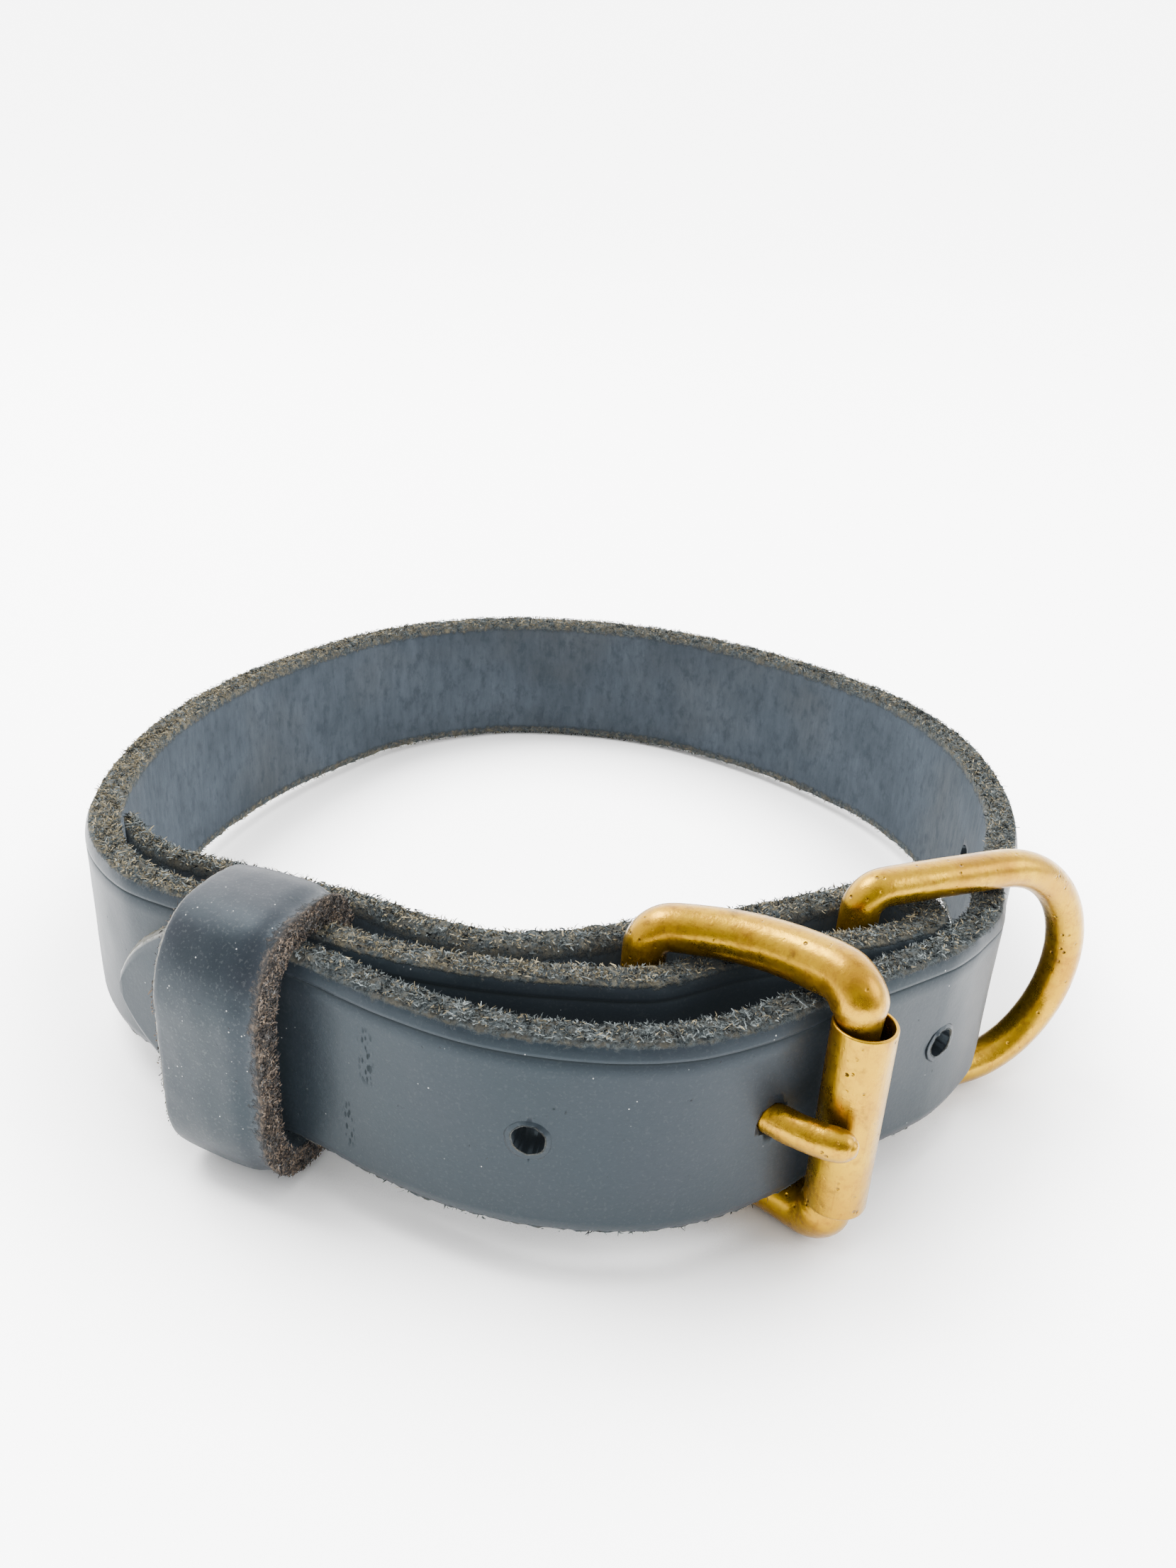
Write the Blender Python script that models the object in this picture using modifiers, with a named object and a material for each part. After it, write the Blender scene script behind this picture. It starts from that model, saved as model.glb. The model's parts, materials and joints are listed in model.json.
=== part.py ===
"""A leather pet collar, buckled into its loop and standing on the edge of its strap.

The plan of the strap is drawn from the heel bar of the buckle, which is the
zero of the plan: +X to the right along the front, +Y towards the back of the
loop, and +Z up from the middle of the strap's width.
"""

from math import atan2, ceil, cos, hypot, pi, radians, sin

import bmesh
import bpy
import numpy as np
from mathutils import Matrix, Vector

MM = 0.001

# The clearance between pieces that touch
FIT = 0.3 * MM

# The strap
STRAP_WIDTH = 25.4 * MM
STRAP_THICKNESS = 4.5 * MM
STRAP_RIM = 0.7 * MM
LOOP_WIDTH = 132.4 * MM
LOOP_DEPTH = 130.0 * MM
LAYER_BULGE = 6.4 * MM
TIP_REACH = 85.0 * MM
TIP_TAPER = 13.0 * MM
TIP_POWER = 0.62
HOLE_DIAMETER = 4.0 * MM
HOLE_PITCH = 26.6 * MM
HOLES_TO_THE_TIP = 1
HOLES_TO_THE_LOOP = 3
STRAP_SPACING = 4.5 * MM
STRAP_TURN = radians(15)

# The keeper
KEEPER_WIDTH = 14.5 * MM
KEEPER_WALL = 3.4 * MM
KEEPER_BACK_RADIUS = 1.5 * MM
KEEPER_TOP_GAP = 0.6 * MM
KEEPER_BOTTOM_GAP = 2.2 * MM
KEEPER_FRONT_GAP = 2.3 * MM
KEEPER_FRONT_ROUNDING = 4.2 * MM
KEEPER_TOP_ROUNDING = 5.6 * MM
KEEPER_BOTTOM_ROUNDING = 6.0 * MM
KEEPER_SHOULDER_IN = 1.0 * MM
KEEPER_SHOULDER_DOWN = 2.4 * MM
KEEPER_SHIFT = 1.5 * MM
KEEPER_RIM = 0.6 * MM

# The buckle
HEEL_BAR = 5.2 * MM
HEEL_SLOPE = radians(15)
HEEL_CORNER = 3.0 * MM
ARM_WIRE = 5.7 * MM
ARM_BULB = 6.5 * MM
ARM_BOW = 3.4 * MM
ARM_CORNER = 3.6 * MM
ARM_CORNER_TURN = radians(72)
BUCKLE_REACH = 26.0 * MM
ROLLER_BAR = 4.4 * MM
ROLLER_OUTSIDE = 7.2 * MM
ROLLER_WALL = 0.45 * MM
ROLLER_EDGE = 0.15 * MM
ROLLER_END_GAP = 0.8 * MM

# The prong
PRONG_WIRE = 3.7 * MM
PRONG_EYE_WALL = 1.5 * MM
PRONG_EYE_HEIGHT = 4.4 * MM
PRONG_START = radians(-36)
PRONG_REST = radians(-101)
PRONG_OVERRUN = 0.9 * MM
PRONG_TIP_SHARE = 0.55
PRONG_NECK_SHARE = 0.88
SLOT_LENGTH = 17.0 * MM
SLOT_ROUNDING = 0.99

# The leash ring
RING_SPACING = 29.1 * MM
RING_BEARING = radians(22.4)
RING_WIRE = 5.0 * MM
RING_PLAY = 0.45 * MM
RING_STRAIGHT = 21.0 * MM
RING_NOSE = 14.0 * MM
RING_CORNER = 3.2 * MM
RING_SWING = radians(22)
FOLD_BEARING = radians(30)
FOLD_SLACK = 4.0 * MM

# The rivets
RIVET_SHANK = 3.0 * MM
RIVET_HEAD = 7.0 * MM
RIVET_HEAD_HEIGHT = 1.0 * MM
RIVET_SEAT = 0.8 * MM

# Edges sharper than the first are rounded off, and sharper than the second
# stay crisp in the shading
RIM_ANGLE = radians(50)
CRISP_ANGLE = radians(35)

# The single stretch of the strap, clockwise from the left turn to the right
# one: shares of the loop's width and depth.
LOOP = (
    # across, deep
    (-0.567, 0.278),
    (-0.575, 0.370),
    (-0.571, 0.466),
    (-0.550, 0.573),
    (-0.505, 0.693),
    (-0.444, 0.799),
    (-0.381, 0.884),
    (-0.291, 0.952),
    (-0.195, 0.992),
    (-0.102, 1.000),
    (-0.008, 0.992),
    (0.087, 0.962),
    (0.174, 0.911),
    (0.244, 0.856),
    (0.308, 0.790),
    (0.364, 0.715),
    (0.401, 0.632),
    (0.422, 0.538),
    (0.425, 0.435),
    (0.414, 0.342),
    (0.393, 0.266),
)

# The stack of layers from the left turn to the heel bar. The place is that of
# the middle layer, in shares of the loop's width and depth. The gap behind it
# is a share of the gap that the keeper's back wall opens. The thickness of the
# inner layer is a share of the strap's, and the gap in front of the middle
# layer is a share of the bulge of the outer one. The last column names what
# sits at a station.
STACK = (
    # across, deep, gap behind, inner thickness, gap in front, seat
    (-0.549, 0.203, 0.10, 0.36, 0.00, ""),
    (-0.514, 0.138, 0.30, 0.60, 0.00, ""),
    (-0.474, 0.095, 0.58, 0.62, 0.00, ""),
    (-0.409, 0.061, 0.90, 0.64, 0.00, ""),
    (-0.341, 0.031, 1.00, 0.70, 0.00, "keeper"),
    (-0.272, 0.002, 1.00, 0.82, 0.03, ""),
    (-0.200, -0.025, 0.60, 0.95, 0.34, ""),
    (-0.132, -0.038, 0.42, 1.00, 0.73, "left rivet"),
    (-0.060, -0.042, 0.85, 1.00, 0.95, ""),
)

# The stations between the heel bar and the ring's bar, as shares of the
# spacing between the two. The layers pinch together there.
SPAN = (
    # along, gap between the layers, gap in front
    (0.28, 0.70, 0.97),
    (0.61, 0.72, 0.58),
)
HEEL_BULGE = 0.93
RING_BULGE = 0.10

# The outer layer round the fold: degrees from the fold's axis, and the gap
# to the fold as a share of the bulge.
TURN = (
    # degrees, gap
    (-4, 1.22),
    (-27, 0.53),
    (-45, 0.18),
    (-65, 0.03),
    (-86, 0.03),
)

PARTS = "pet_collar"
CUTTERS = "cutters"


def heading(angle):
    """The unit vector at an angle in the plan."""
    return np.array([cos(angle), sin(angle)])


def left_of(direction):
    """The direction a quarter turn to the left, in the plan."""
    return np.array([-direction[1], direction[0]])


def unit(vector):
    return vector / hypot(*vector)


# Places that the sizes settle

HEEL = np.zeros(2)
RING_BAR = RING_SPACING * heading(RING_BEARING)
SPAN_AXIS = unit(RING_BAR - HEEL)
FOLD_AXIS = heading(FOLD_BEARING)
FOLD_CENTRE = RING_BAR + FOLD_SLACK * FOLD_AXIS
HALF = STRAP_THICKNESS / 2
HEEL_GAP = HEEL_BAR + 2 * FIT
RING_GAP = RING_WIRE + 2 * FIT
KEEPER_GAP = KEEPER_WALL + 2 * FIT
FOLD_RADIUS = RING_GAP / 2 + HALF
LAYER_STEP = STRAP_THICKNESS + FIT
RING_RISE = STRAP_WIDTH / 2 + RING_PLAY + RING_WIRE / 2
RING_LIFT = RING_PLAY - FIT / 2
ARM_CLEAR = STRAP_WIDTH / 2 + FIT
ROLLER_LENGTH = 2 * (ARM_CLEAR - ROLLER_END_GAP)
ROLLER_BORE = ROLLER_OUTSIDE - 2 * ROLLER_WALL
EYE_RADIUS = HEEL_BAR / 2 + FIT + PRONG_EYE_WALL
SLOT_OFFSET = SLOT_LENGTH / 6
PUNCH_DEPTH = STRAP_THICKNESS + LAYER_BULGE / 3
DRILL_DEPTH = 6 * STRAP_THICKNESS
TIP_RUN_IN = TIP_TAPER + STRAP_SPACING / 4


def seat(name):
    """Which station of the stack carries what has this name."""
    return [row[-1] for row in STACK].index(name)


def stations():
    """The stations of the stack, from the left turn to the ring's bar.

    Each has its place on the middle layer, the direction from there to the
    inner side of the loop, the distance to the inner layer, the inner layer's
    share of the thickness, and the distance out to the outer layer.
    """
    places = [np.array([row[0] * LOOP_WIDTH, row[1] * LOOP_DEPTH]) for row in STACK]
    heel_inward = left_of(heading(HEEL_SLOPE))
    places.append(HEEL - (HEEL_GAP / 2 + HALF) * heel_inward)
    found = []
    for index, row in enumerate(STACK):
        before = places[max(index - 1, 0)]
        after = places[index + 1]
        inward = left_of(unit(after - before))
        thickness = row[3] * STRAP_THICKNESS
        behind = HALF + row[2] * KEEPER_GAP + thickness / 2
        in_front = LAYER_STEP + row[4] * LAYER_BULGE
        found.append((places[index], inward, behind, row[3], in_front))
    in_front = LAYER_STEP + HEEL_BULGE * LAYER_BULGE
    found.append((places[-1], heel_inward, HEEL_GAP + STRAP_THICKNESS, 1.0, in_front))
    span_inward = left_of(SPAN_AXIS)
    for along, pinch, bulge in SPAN:
        gap = pinch * HEEL_GAP
        place = HEEL + along * RING_SPACING * SPAN_AXIS - (gap / 2 + HALF) * span_inward
        in_front = LAYER_STEP + bulge * LAYER_BULGE
        found.append((place, span_inward, gap + STRAP_THICKNESS, 1.0, in_front))
    fold_inward = left_of(FOLD_AXIS)
    in_front = LAYER_STEP + RING_BULGE * LAYER_BULGE
    found.append((RING_BAR - FOLD_RADIUS * fold_inward, fold_inward, 2 * FOLD_RADIUS, 1.0, in_front))
    return found


def route():
    """The points on the strap's middle line, with its share of the thickness.

    The inner layer runs from the free end at the left to the ring, where the
    strap folds back. The middle layer runs to the left turn, the loop goes
    round the back, and the outer layer comes back to the left as the tip.
    """
    stack = stations()
    points = []
    for place, inward, behind, share, _ in stack:
        points.append((*(place + behind * inward), share))
    for degrees in range(90, -91, -30):
        place = FOLD_CENTRE + FOLD_RADIUS * heading(FOLD_BEARING + radians(degrees))
        points.append((*place, 1.0))
    for place, _, _, _, _ in reversed(stack):
        points.append((*place, 1.0))
    first_of_loop = len(points)
    for across, deep in LOOP:
        points.append((across * LOOP_WIDTH, deep * LOOP_DEPTH, 1.0))
    for degrees, gap in TURN:
        radius = FOLD_RADIUS + LAYER_STEP + gap * LAYER_BULGE
        place = FOLD_CENTRE + radius * heading(FOLD_BEARING + radians(degrees))
        points.append((*place, 1.0))
    for place, inward, _, _, in_front in reversed(stack):
        points.append((*(place - in_front * inward), 1.0))
    return np.array(points), first_of_loop


def smooth(points):
    """Samples of a smooth curve through points, close together in tight turns.

    Returns the samples and the sample that each point became.
    """
    steps = np.diff(points, axis=0)
    lengths = np.hypot(steps[:, 0], steps[:, 1])
    slopes = steps / lengths[:, None]
    tangents = np.empty_like(points)
    tangents[0] = slopes[0]
    tangents[-1] = slopes[-1]
    for index in range(1, len(points) - 1):
        before = lengths[index - 1]
        after = lengths[index]
        mixed = slopes[index - 1] * after + slopes[index] * before
        tangents[index] = mixed / (before + after)
    samples = [points[0]]
    at_point = [0]
    for index, length in enumerate(lengths):
        start = tangents[index]
        end = tangents[index + 1]
        turn = abs(atan2(start[0] * end[1] - start[1] * end[0], start[0] * end[0] + start[1] * end[1]))
        count = max(ceil(length / STRAP_SPACING), ceil(turn / STRAP_TURN), 1)
        for step in range(1, count + 1):
            t = step / count
            sample = (
                (2 * t**3 - 3 * t**2 + 1) * points[index]
                + (t**3 - 2 * t**2 + t) * length * start
                + (3 * t**2 - 2 * t**3) * points[index + 1]
                + (t**3 - t**2) * length * end
            )
            samples.append(sample)
        at_point.append(len(samples) - 1)
    return np.array(samples), at_point


def travelled(samples):
    """The length of the line up to each sample."""
    steps = np.diff(samples[:, :2], axis=0)
    return np.concatenate([[0.0], np.cumsum(np.hypot(steps[:, 0], steps[:, 1]))])


def place_at(samples, lengths, distance):
    """The point on the line at a distance along it, and the direction there."""
    point = np.array([np.interp(distance, lengths, samples[:, axis]) for axis in (0, 1)])
    index = int(np.clip(np.searchsorted(lengths, distance), 1, len(lengths) - 1))
    return point, unit(samples[index, :2] - samples[index - 1, :2])


def roller_place(samples, first, last):
    """The roller's axis: against the outer layer, where it comes into reach.

    If it never does, the roller is at the last place that was tried.
    """
    offset = HALF + FIT + ROLLER_OUTSIDE / 2
    before = None
    for index in range(first, last):
        start = samples[index, :2]
        end = samples[index + 1, :2]
        axis = (start + end) / 2 + offset * left_of(unit(end - start))
        distance = hypot(*(axis - HEEL))
        if before and distance <= BUCKLE_REACH:
            share = (before[1] - BUCKLE_REACH) / (before[1] - distance)
            return before[0] + share * (axis - before[0])
        before = (axis, distance)
    return before[0]


def prong_line(roller):
    """The middle line of the prong: out of its eye, and onto the roller."""
    rest = heading(PRONG_REST)
    along = left_of(rest)
    contact = roller + (ROLLER_OUTSIDE / 2 + FIT + PRONG_WIRE / 2) * rest
    tip = contact + PRONG_OVERRUN * along
    start = HEEL + (HEEL_BAR / 2 + FIT + PRONG_EYE_WALL / 2) * heading(PRONG_START)
    length = hypot(*(tip - start))
    line = []
    for t in np.linspace(0, 1, 17):
        point = (
            (2 * t**3 - 3 * t**2 + 1) * start
            + (t**3 - 2 * t**2 + t) * length * heading(PRONG_START)
            + (3 * t**2 - 2 * t**3) * tip
            + (t**3 - t**2) * length * along
        )
        line.append(point)
    return np.array(line)


def crossing(samples, lengths, first, last, line):
    """How far along the strap the prong's middle line crosses it, or the first place."""
    for index in range(first, last):
        start = samples[index, :2]
        along = samples[index + 1, :2] - start
        for step in range(len(line) - 1):
            across = line[step + 1] - line[step]
            offset = line[step] - start
            scale = along[0] * across[1] - along[1] * across[0]
            on_strap = (offset[0] * across[1] - offset[1] * across[0]) / scale
            on_prong = (offset[0] * along[1] - offset[1] * along[0]) / scale
            if 0 <= on_strap <= 1 and 0 <= on_prong <= 1:
                return lengths[index] + on_strap * (lengths[index + 1] - lengths[index])
    return lengths[first]


class Plan:
    """The strap's middle line and what the pieces take their places from."""

    def __init__(self):
        points, first_of_loop = route()
        samples, at_point = smooth(points)
        lengths = travelled(samples)
        front = at_point[first_of_loop + len(LOOP)]
        self.stack = stations()
        self.roller = roller_place(samples, front, len(samples) - 1)
        self.prong = prong_line(self.roller)
        self.hole = crossing(samples, lengths, front, len(samples) - 1, self.prong)
        self.samples = samples
        self.lengths = lengths
        self.end = self.hole + TIP_REACH
        self.bar = self.roller + bar_offset(self.roller)


def bar_offset(roller):
    """The buckle's front bar lies against the near side of the roller's bore."""
    play = (ROLLER_BORE - ROLLER_BAR) / 2 - FIT
    return play * unit(HEEL - roller)


# Blender helpers


def clear_scene():
    for item in list(bpy.data.objects):
        bpy.data.objects.remove(item, do_unlink=True)


def new_collection(name, hidden=False):
    collection = bpy.data.collections.new(name)
    bpy.context.scene.collection.children.link(collection)
    collection.hide_render = hidden
    return collection


def material(name, colour, roughness, metallic):
    made = bpy.data.materials.new(name)
    made.use_nodes = True
    shader = made.node_tree.nodes["Principled BSDF"]
    shader.inputs["Base Color"].default_value = (*colour, 1.0)
    shader.inputs["Roughness"].default_value = roughness
    shader.inputs["Metallic"].default_value = metallic
    made.diffuse_color = (*colour, 1.0)
    return made


def leather(name):
    return material(name, (0.055, 0.065, 0.078), 0.62, 0.0)


def brass(name):
    return material(name, (0.62, 0.36, 0.09), 0.30, 1.0)


def add(name, data, collection, root, look=None):
    item = bpy.data.objects.new(name, data)
    collection.objects.link(item)
    item.parent = root
    if look is not None:
        data.materials.append(look)
    return item


def add_cutter(name, data, collection, root):
    item = add(name, data, collection, root)
    item.hide_render = True
    item.display_type = "WIRE"
    return item


def cut(item, cutter):
    difference = item.modifiers.new(cutter.name, "BOOLEAN")
    difference.operation = "DIFFERENCE"
    difference.solver = "EXACT"
    difference.object = cutter


def join(item, other):
    union = item.modifiers.new(other.name, "BOOLEAN")
    union.operation = "UNION"
    union.solver = "EXACT"
    union.object = other


def wire(name, points, radii, cyclic, sides=2):
    """A curve with a round section through points, thicker where radii say."""
    data = bpy.data.curves.new(name, "CURVE")
    data.dimensions = "3D"
    data.bevel_depth = 1.0
    data.bevel_resolution = sides
    data.use_fill_caps = not cyclic
    data.twist_mode = "MINIMUM"
    line = data.splines.new("POLY")
    line.points.add(len(points) - 1)
    for spot, point, radius in zip(line.points, points, radii):
        spot.co = (*point, 1.0)
        spot.radius = radius
    line.use_cyclic_u = cyclic
    line.use_smooth = True
    return data


def to_mesh(item):
    """A mesh object with the shape, name and place of a curve object."""
    bpy.context.view_layer.update()
    depsgraph = bpy.context.evaluated_depsgraph_get()
    data = bpy.data.meshes.new_from_object(item.evaluated_get(depsgraph))
    shape = bmesh.new()
    shape.from_mesh(data)
    bmesh.ops.remove_doubles(shape, verts=shape.verts, dist=0.01 * MM)
    bmesh.ops.recalc_face_normals(shape, faces=shape.faces)
    shape.to_mesh(data)
    shape.free()
    name = item.name
    made = bpy.data.objects.new(name, data)
    made.parent = item.parent
    made.matrix_world = item.matrix_world.copy()
    for collection in item.users_collection:
        collection.objects.link(made)
    bpy.data.objects.remove(item, do_unlink=True)
    made.name = name
    return made


def cylinder(radius, depth, sides=24):
    data = bpy.data.meshes.new("cylinder")
    shape = bmesh.new()
    bmesh.ops.create_cone(
        shape, cap_ends=True, segments=sides, radius1=radius, radius2=radius, depth=depth
    )
    shape.to_mesh(data)
    shape.free()
    return data


def turned(name, profile):
    """A profile for turn() to take round the Z axis, closed unless it ends there."""
    data = bpy.data.meshes.new(name)
    shape = bmesh.new()
    corners = [shape.verts.new((x, 0.0, z)) for x, z in profile]
    on_axis = profile[0][0] == 0.0
    for first, second in zip(corners, corners[1:] if on_axis else corners[1:] + corners[:1]):
        shape.edges.new((first, second))
    shape.to_mesh(data)
    shape.free()
    return data


def turn(item, steps=24):
    """Turns a profile round its object's Z axis with a Screw modifier."""
    screw = item.modifiers.new("turn", "SCREW")
    screw.axis = "Z"
    screw.steps = steps
    screw.render_steps = steps
    screw.use_merge_vertices = True
    screw.merge_threshold = 0.01 * MM
    screw.use_smooth_shade = True
    return item


def shade_round(data):
    data.shade_smooth()
    data.set_sharp_from_angle(angle=CRISP_ANGLE)


def plan_point(point, height=0.0):
    return Vector((point[0], point[1], height))


def point_along(item, direction):
    """Turns an object's Z axis to a direction in the plan, its Y axis up."""
    along = Vector((direction[0], direction[1], 0.0))
    up = Vector((0.0, 0.0, 1.0))
    side = up.cross(along)
    item.rotation_euler = Matrix((side, up, along)).transposed().to_euler()


def rounded_outline(low, high, roundings, arc_steps):
    """The corners of a rectangle with elliptic corners, counter-clockwise.

    The roundings are the half axes of each corner, from the one at high.
    """
    centres = ((high[0], high[1]), (low[0], high[1]), (low[0], low[1]), (high[0], low[1]))
    points = []
    for quarter, ((x, y), (round_x, round_y)) in enumerate(zip(centres, roundings)):
        side_x = 1 if quarter in (0, 3) else -1
        side_y = 1 if quarter in (0, 1) else -1
        for step in range(arc_steps + 1):
            angle = (quarter + step / arc_steps) * pi / 2
            place_x = x - side_x * round_x + round_x * cos(angle)
            place_y = y - side_y * round_y + round_y * sin(angle)
            points.append((place_x, place_y))
    return points


def flat_shape(name, outlines, thickness):
    """A filled 2D curve; a second outline is a hole in the first."""
    data = bpy.data.curves.new(name, "CURVE")
    data.dimensions = "2D"
    data.fill_mode = "BOTH"
    data.extrude = thickness / 2
    for outline in outlines:
        line = data.splines.new("POLY")
        line.points.add(len(outline) - 1)
        for spot, (x, y) in zip(line.points, outline):
            spot.co = (x, y, 0.0, 1.0)
        line.use_cyclic_u = True
    return data


# The pieces


def half_width_at(distance_to_tip):
    """Half the strap's width, which rounds off to a blunt point at the tip."""
    share = min(distance_to_tip / TIP_TAPER, 1.0)
    return STRAP_WIDTH / 2 * share**TIP_POWER


def strap_rows(plan):
    """The strap's middle line cut to length, with half widths and thicknesses."""
    rows = []
    tapers = [TIP_TAPER * share for share in (1.0, 0.8, 0.6, 0.42, 0.28, 0.16, 0.07)]
    for sample, length in zip(plan.samples, plan.lengths):
        if length < plan.end - TIP_RUN_IN:
            rows.append((sample[0], sample[1], STRAP_WIDTH / 2, sample[2]))
    for taper in tapers:
        point, _ = place_at(plan.samples, plan.lengths, plan.end - taper)
        rows.append((point[0], point[1], half_width_at(taper), 1.0))
    return rows


def strap_sheet(plan):
    """The strap's middle surface, one strip of faces along its middle line."""
    data = bpy.data.meshes.new("strap")
    shape = bmesh.new()
    share_of = shape.verts.layers.deform.verify()
    edge = None
    for x, y, half_width, share in strap_rows(plan):
        low = shape.verts.new((x, y, -half_width))
        high = shape.verts.new((x, y, half_width))
        low[share_of][0] = share
        high[share_of][0] = share
        if edge:
            shape.faces.new((edge[0], low, high, edge[1]))
        edge = (low, high)
    shape.to_mesh(data)
    shape.free()
    return data


def make_strap(plan, parts, cutters, root):
    strap = add("strap", strap_sheet(plan), parts, root, leather("strap_leather"))
    strap.vertex_groups.new(name="full_thickness")
    wall = strap.modifiers.new("thickness", "SOLIDIFY")
    wall.thickness = STRAP_THICKNESS
    wall.offset = 0.0
    wall.use_even_offset = True
    wall.vertex_group = "full_thickness"
    rim = strap.modifiers.new("rim", "BEVEL")
    rim.width = STRAP_RIM
    rim.segments = 1
    rim.limit_method = "ANGLE"
    rim.angle_limit = RIM_ANGLE
    for number in range(-HOLES_TO_THE_LOOP, HOLES_TO_THE_TIP + 1):
        if number == 0:
            continue
        point, along = place_at(plan.samples, plan.lengths, plan.hole + number * HOLE_PITCH)
        punch = cylinder(HOLE_DIAMETER / 2, PUNCH_DEPTH)
        punch = add_cutter(f"punch_{number}", punch, cutters, root)
        punch.location = plan_point(point)
        point_along(punch, left_of(along))
        cut(strap, punch)
    for cutter in prong_cutters(plan, cutters, root):
        cut(strap, cutter)
    for name, place, inward, _, _ in rivet_places(plan):
        drill = cylinder(RIVET_SHANK / 2 + FIT, DRILL_DEPTH, 16)
        drill = add_cutter(f"drill_{name}", drill, cutters, root)
        drill.location = plan_point(place + (DRILL_DEPTH / 2 - HALF - FIT) * inward)
        point_along(drill, inward)
        cut(strap, drill)
    return strap


def prong_cutters(plan, cutters, root):
    """The room in the leather for the prong: its slot, its eye and its hole."""
    clear = PRONG_WIRE / 2 + FIT
    made = []
    bore = [plan_point(point) for point in plan.prong]
    hole = wire("prong_hole", bore, [clear] * len(bore), False)
    hole = add("prong_hole", hole, cutters, root)
    made.append(to_mesh(hole))
    eye = add("eye_room", cylinder(EYE_RADIUS + FIT, PRONG_EYE_HEIGHT + 2 * FIT), cutters, root)
    made.append(eye)
    place, inward, _, _, _ = plan.stack[len(STACK)]
    round_ends = [(SLOT_ROUNDING * clear, SLOT_ROUNDING * clear)] * 4
    corner = (SLOT_LENGTH / 2, clear)
    outline = rounded_outline((-corner[0], -corner[1]), corner, round_ends, 6)
    slot = flat_shape("slot", [outline], STRAP_THICKNESS + 2 * FIT)
    slot = add("slot", slot, cutters, root)
    slot.location = plan_point(place - SLOT_OFFSET * left_of(inward))
    point_along(slot, inward)
    made.append(to_mesh(slot))
    for item in made:
        item.hide_render = True
        item.display_type = "WIRE"
    return made


def keeper_outline(depth, grow, shoulder, arc_steps):
    """The keeper's section: across is out of the loop, and up is up.

    Its back and its top lie against the strap, and it hangs off the front.
    The leather is stretched over the shoulder at the top of its front.
    """
    back = -depth / 2 - FIT - grow
    front = depth / 2 + KEEPER_FRONT_GAP + grow
    bottom = -STRAP_WIDTH / 2 - KEEPER_BOTTOM_GAP - grow
    top = STRAP_WIDTH / 2 + KEEPER_TOP_GAP + grow
    behind = KEEPER_BACK_RADIUS + grow
    in_front = KEEPER_FRONT_ROUNDING + grow
    roundings = (
        (in_front + shoulder[0], KEEPER_TOP_ROUNDING + grow + shoulder[1]),
        (behind, behind),
        (behind, behind),
        (in_front, KEEPER_BOTTOM_ROUNDING + grow),
    )
    return rounded_outline((back, bottom), (front, top), roundings, arc_steps)


def make_keeper(plan, parts, root):
    """A band of leather round the middle and the outer layer."""
    place, inward, _, _, in_front = plan.stack[seat("keeper")]
    depth = in_front + STRAP_THICKNESS
    shoulder = (KEEPER_SHOULDER_IN, KEEPER_SHOULDER_DOWN)
    outer = keeper_outline(depth, KEEPER_WALL, shoulder, 7)
    inner = keeper_outline(depth, 0.0, (0.0, 0.0), 4)
    outlines = [outer, inner]
    data = flat_shape("keeper", outlines, KEEPER_WIDTH)
    keeper = add("keeper", data, parts, root, leather("keeper_leather"))
    keeper.location = plan_point(place - in_front / 2 * inward - KEEPER_SHIFT * left_of(inward))
    point_along(keeper, left_of(inward))
    keeper = to_mesh(keeper)
    rim = keeper.modifiers.new("rim", "BEVEL")
    rim.width = KEEPER_RIM
    rim.segments = 2
    rim.limit_method = "ANGLE"
    rim.angle_limit = RIM_ANGLE
    shade_round(keeper.data)
    return keeper


def arm_plan(bar, share):
    """A point of the buckle's arm in the plan, from the heel to the front bar."""
    chord = bar - HEEL
    bow = ARM_BOW * 4 * share * (1 - share)
    return HEEL + share * chord + bow * left_of(unit(chord))


def upper_half(bar):
    """The upper half of the buckle's loop: place, height and radius.

    It runs from the middle of the heel bar to the middle of the front bar.
    The underside of the arm stays level, just above the strap.
    """
    reach = hypot(*(bar - HEEL))
    clear = ARM_CLEAR
    heel_radius = HEEL_BAR / 2
    arm_radius = ARM_WIRE / 2
    bulb_radius = ARM_BULB / 2
    bar_radius = ROLLER_BAR / 2
    chord = bar - HEEL
    sideways = 4 * ARM_BOW * left_of(unit(chord))
    leave = unit(chord + sideways)
    arrive = unit(chord - sideways)
    rows = [(HEEL, 0.0, heel_radius)]
    for share in np.linspace(0, 1, 6):
        angle = share * pi / 2
        radius = heel_radius + share * (arm_radius - heel_radius)
        out = HEEL_CORNER * (1 - cos(angle))
        drop = HEEL_CORNER * (1 - sin(angle))
        rows.append((HEEL + out * leave, clear + arm_radius - drop, radius))
    first = HEEL_CORNER / reach
    last = 1 - ARM_CORNER / reach
    for share in np.linspace(0, 1, 9)[1:-1]:
        radius = arm_radius + share * (bulb_radius - arm_radius)
        rows.append((arm_plan(bar, first + share * (last - first)), clear + radius, radius))
    for angle in np.linspace(0, ARM_CORNER_TURN, 5):
        back = ARM_CORNER * (1 - sin(angle))
        drop = ARM_CORNER * (1 - cos(angle))
        rows.append((bar - back * arrive, clear + bulb_radius - drop, bulb_radius))
    rows.append((bar, clear - ROLLER_END_GAP / 4, bar_radius))
    rows.append((bar, 0.0, bar_radius))
    return rows


def make_buckle(plan, parts, root):
    """One closed loop of round metal: heel bar, two arms and the roller's bar."""
    upper = upper_half(plan.bar)
    lower = [(place, -height, radius) for place, height, radius in upper[-2:0:-1]]
    points = [plan_point(place, height) for place, height, _ in upper + lower]
    radii = [radius for _, _, radius in upper + lower]
    data = wire("buckle_frame", points, radii, True)
    return add("buckle_frame", data, parts, root, brass("frame_brass"))


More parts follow.
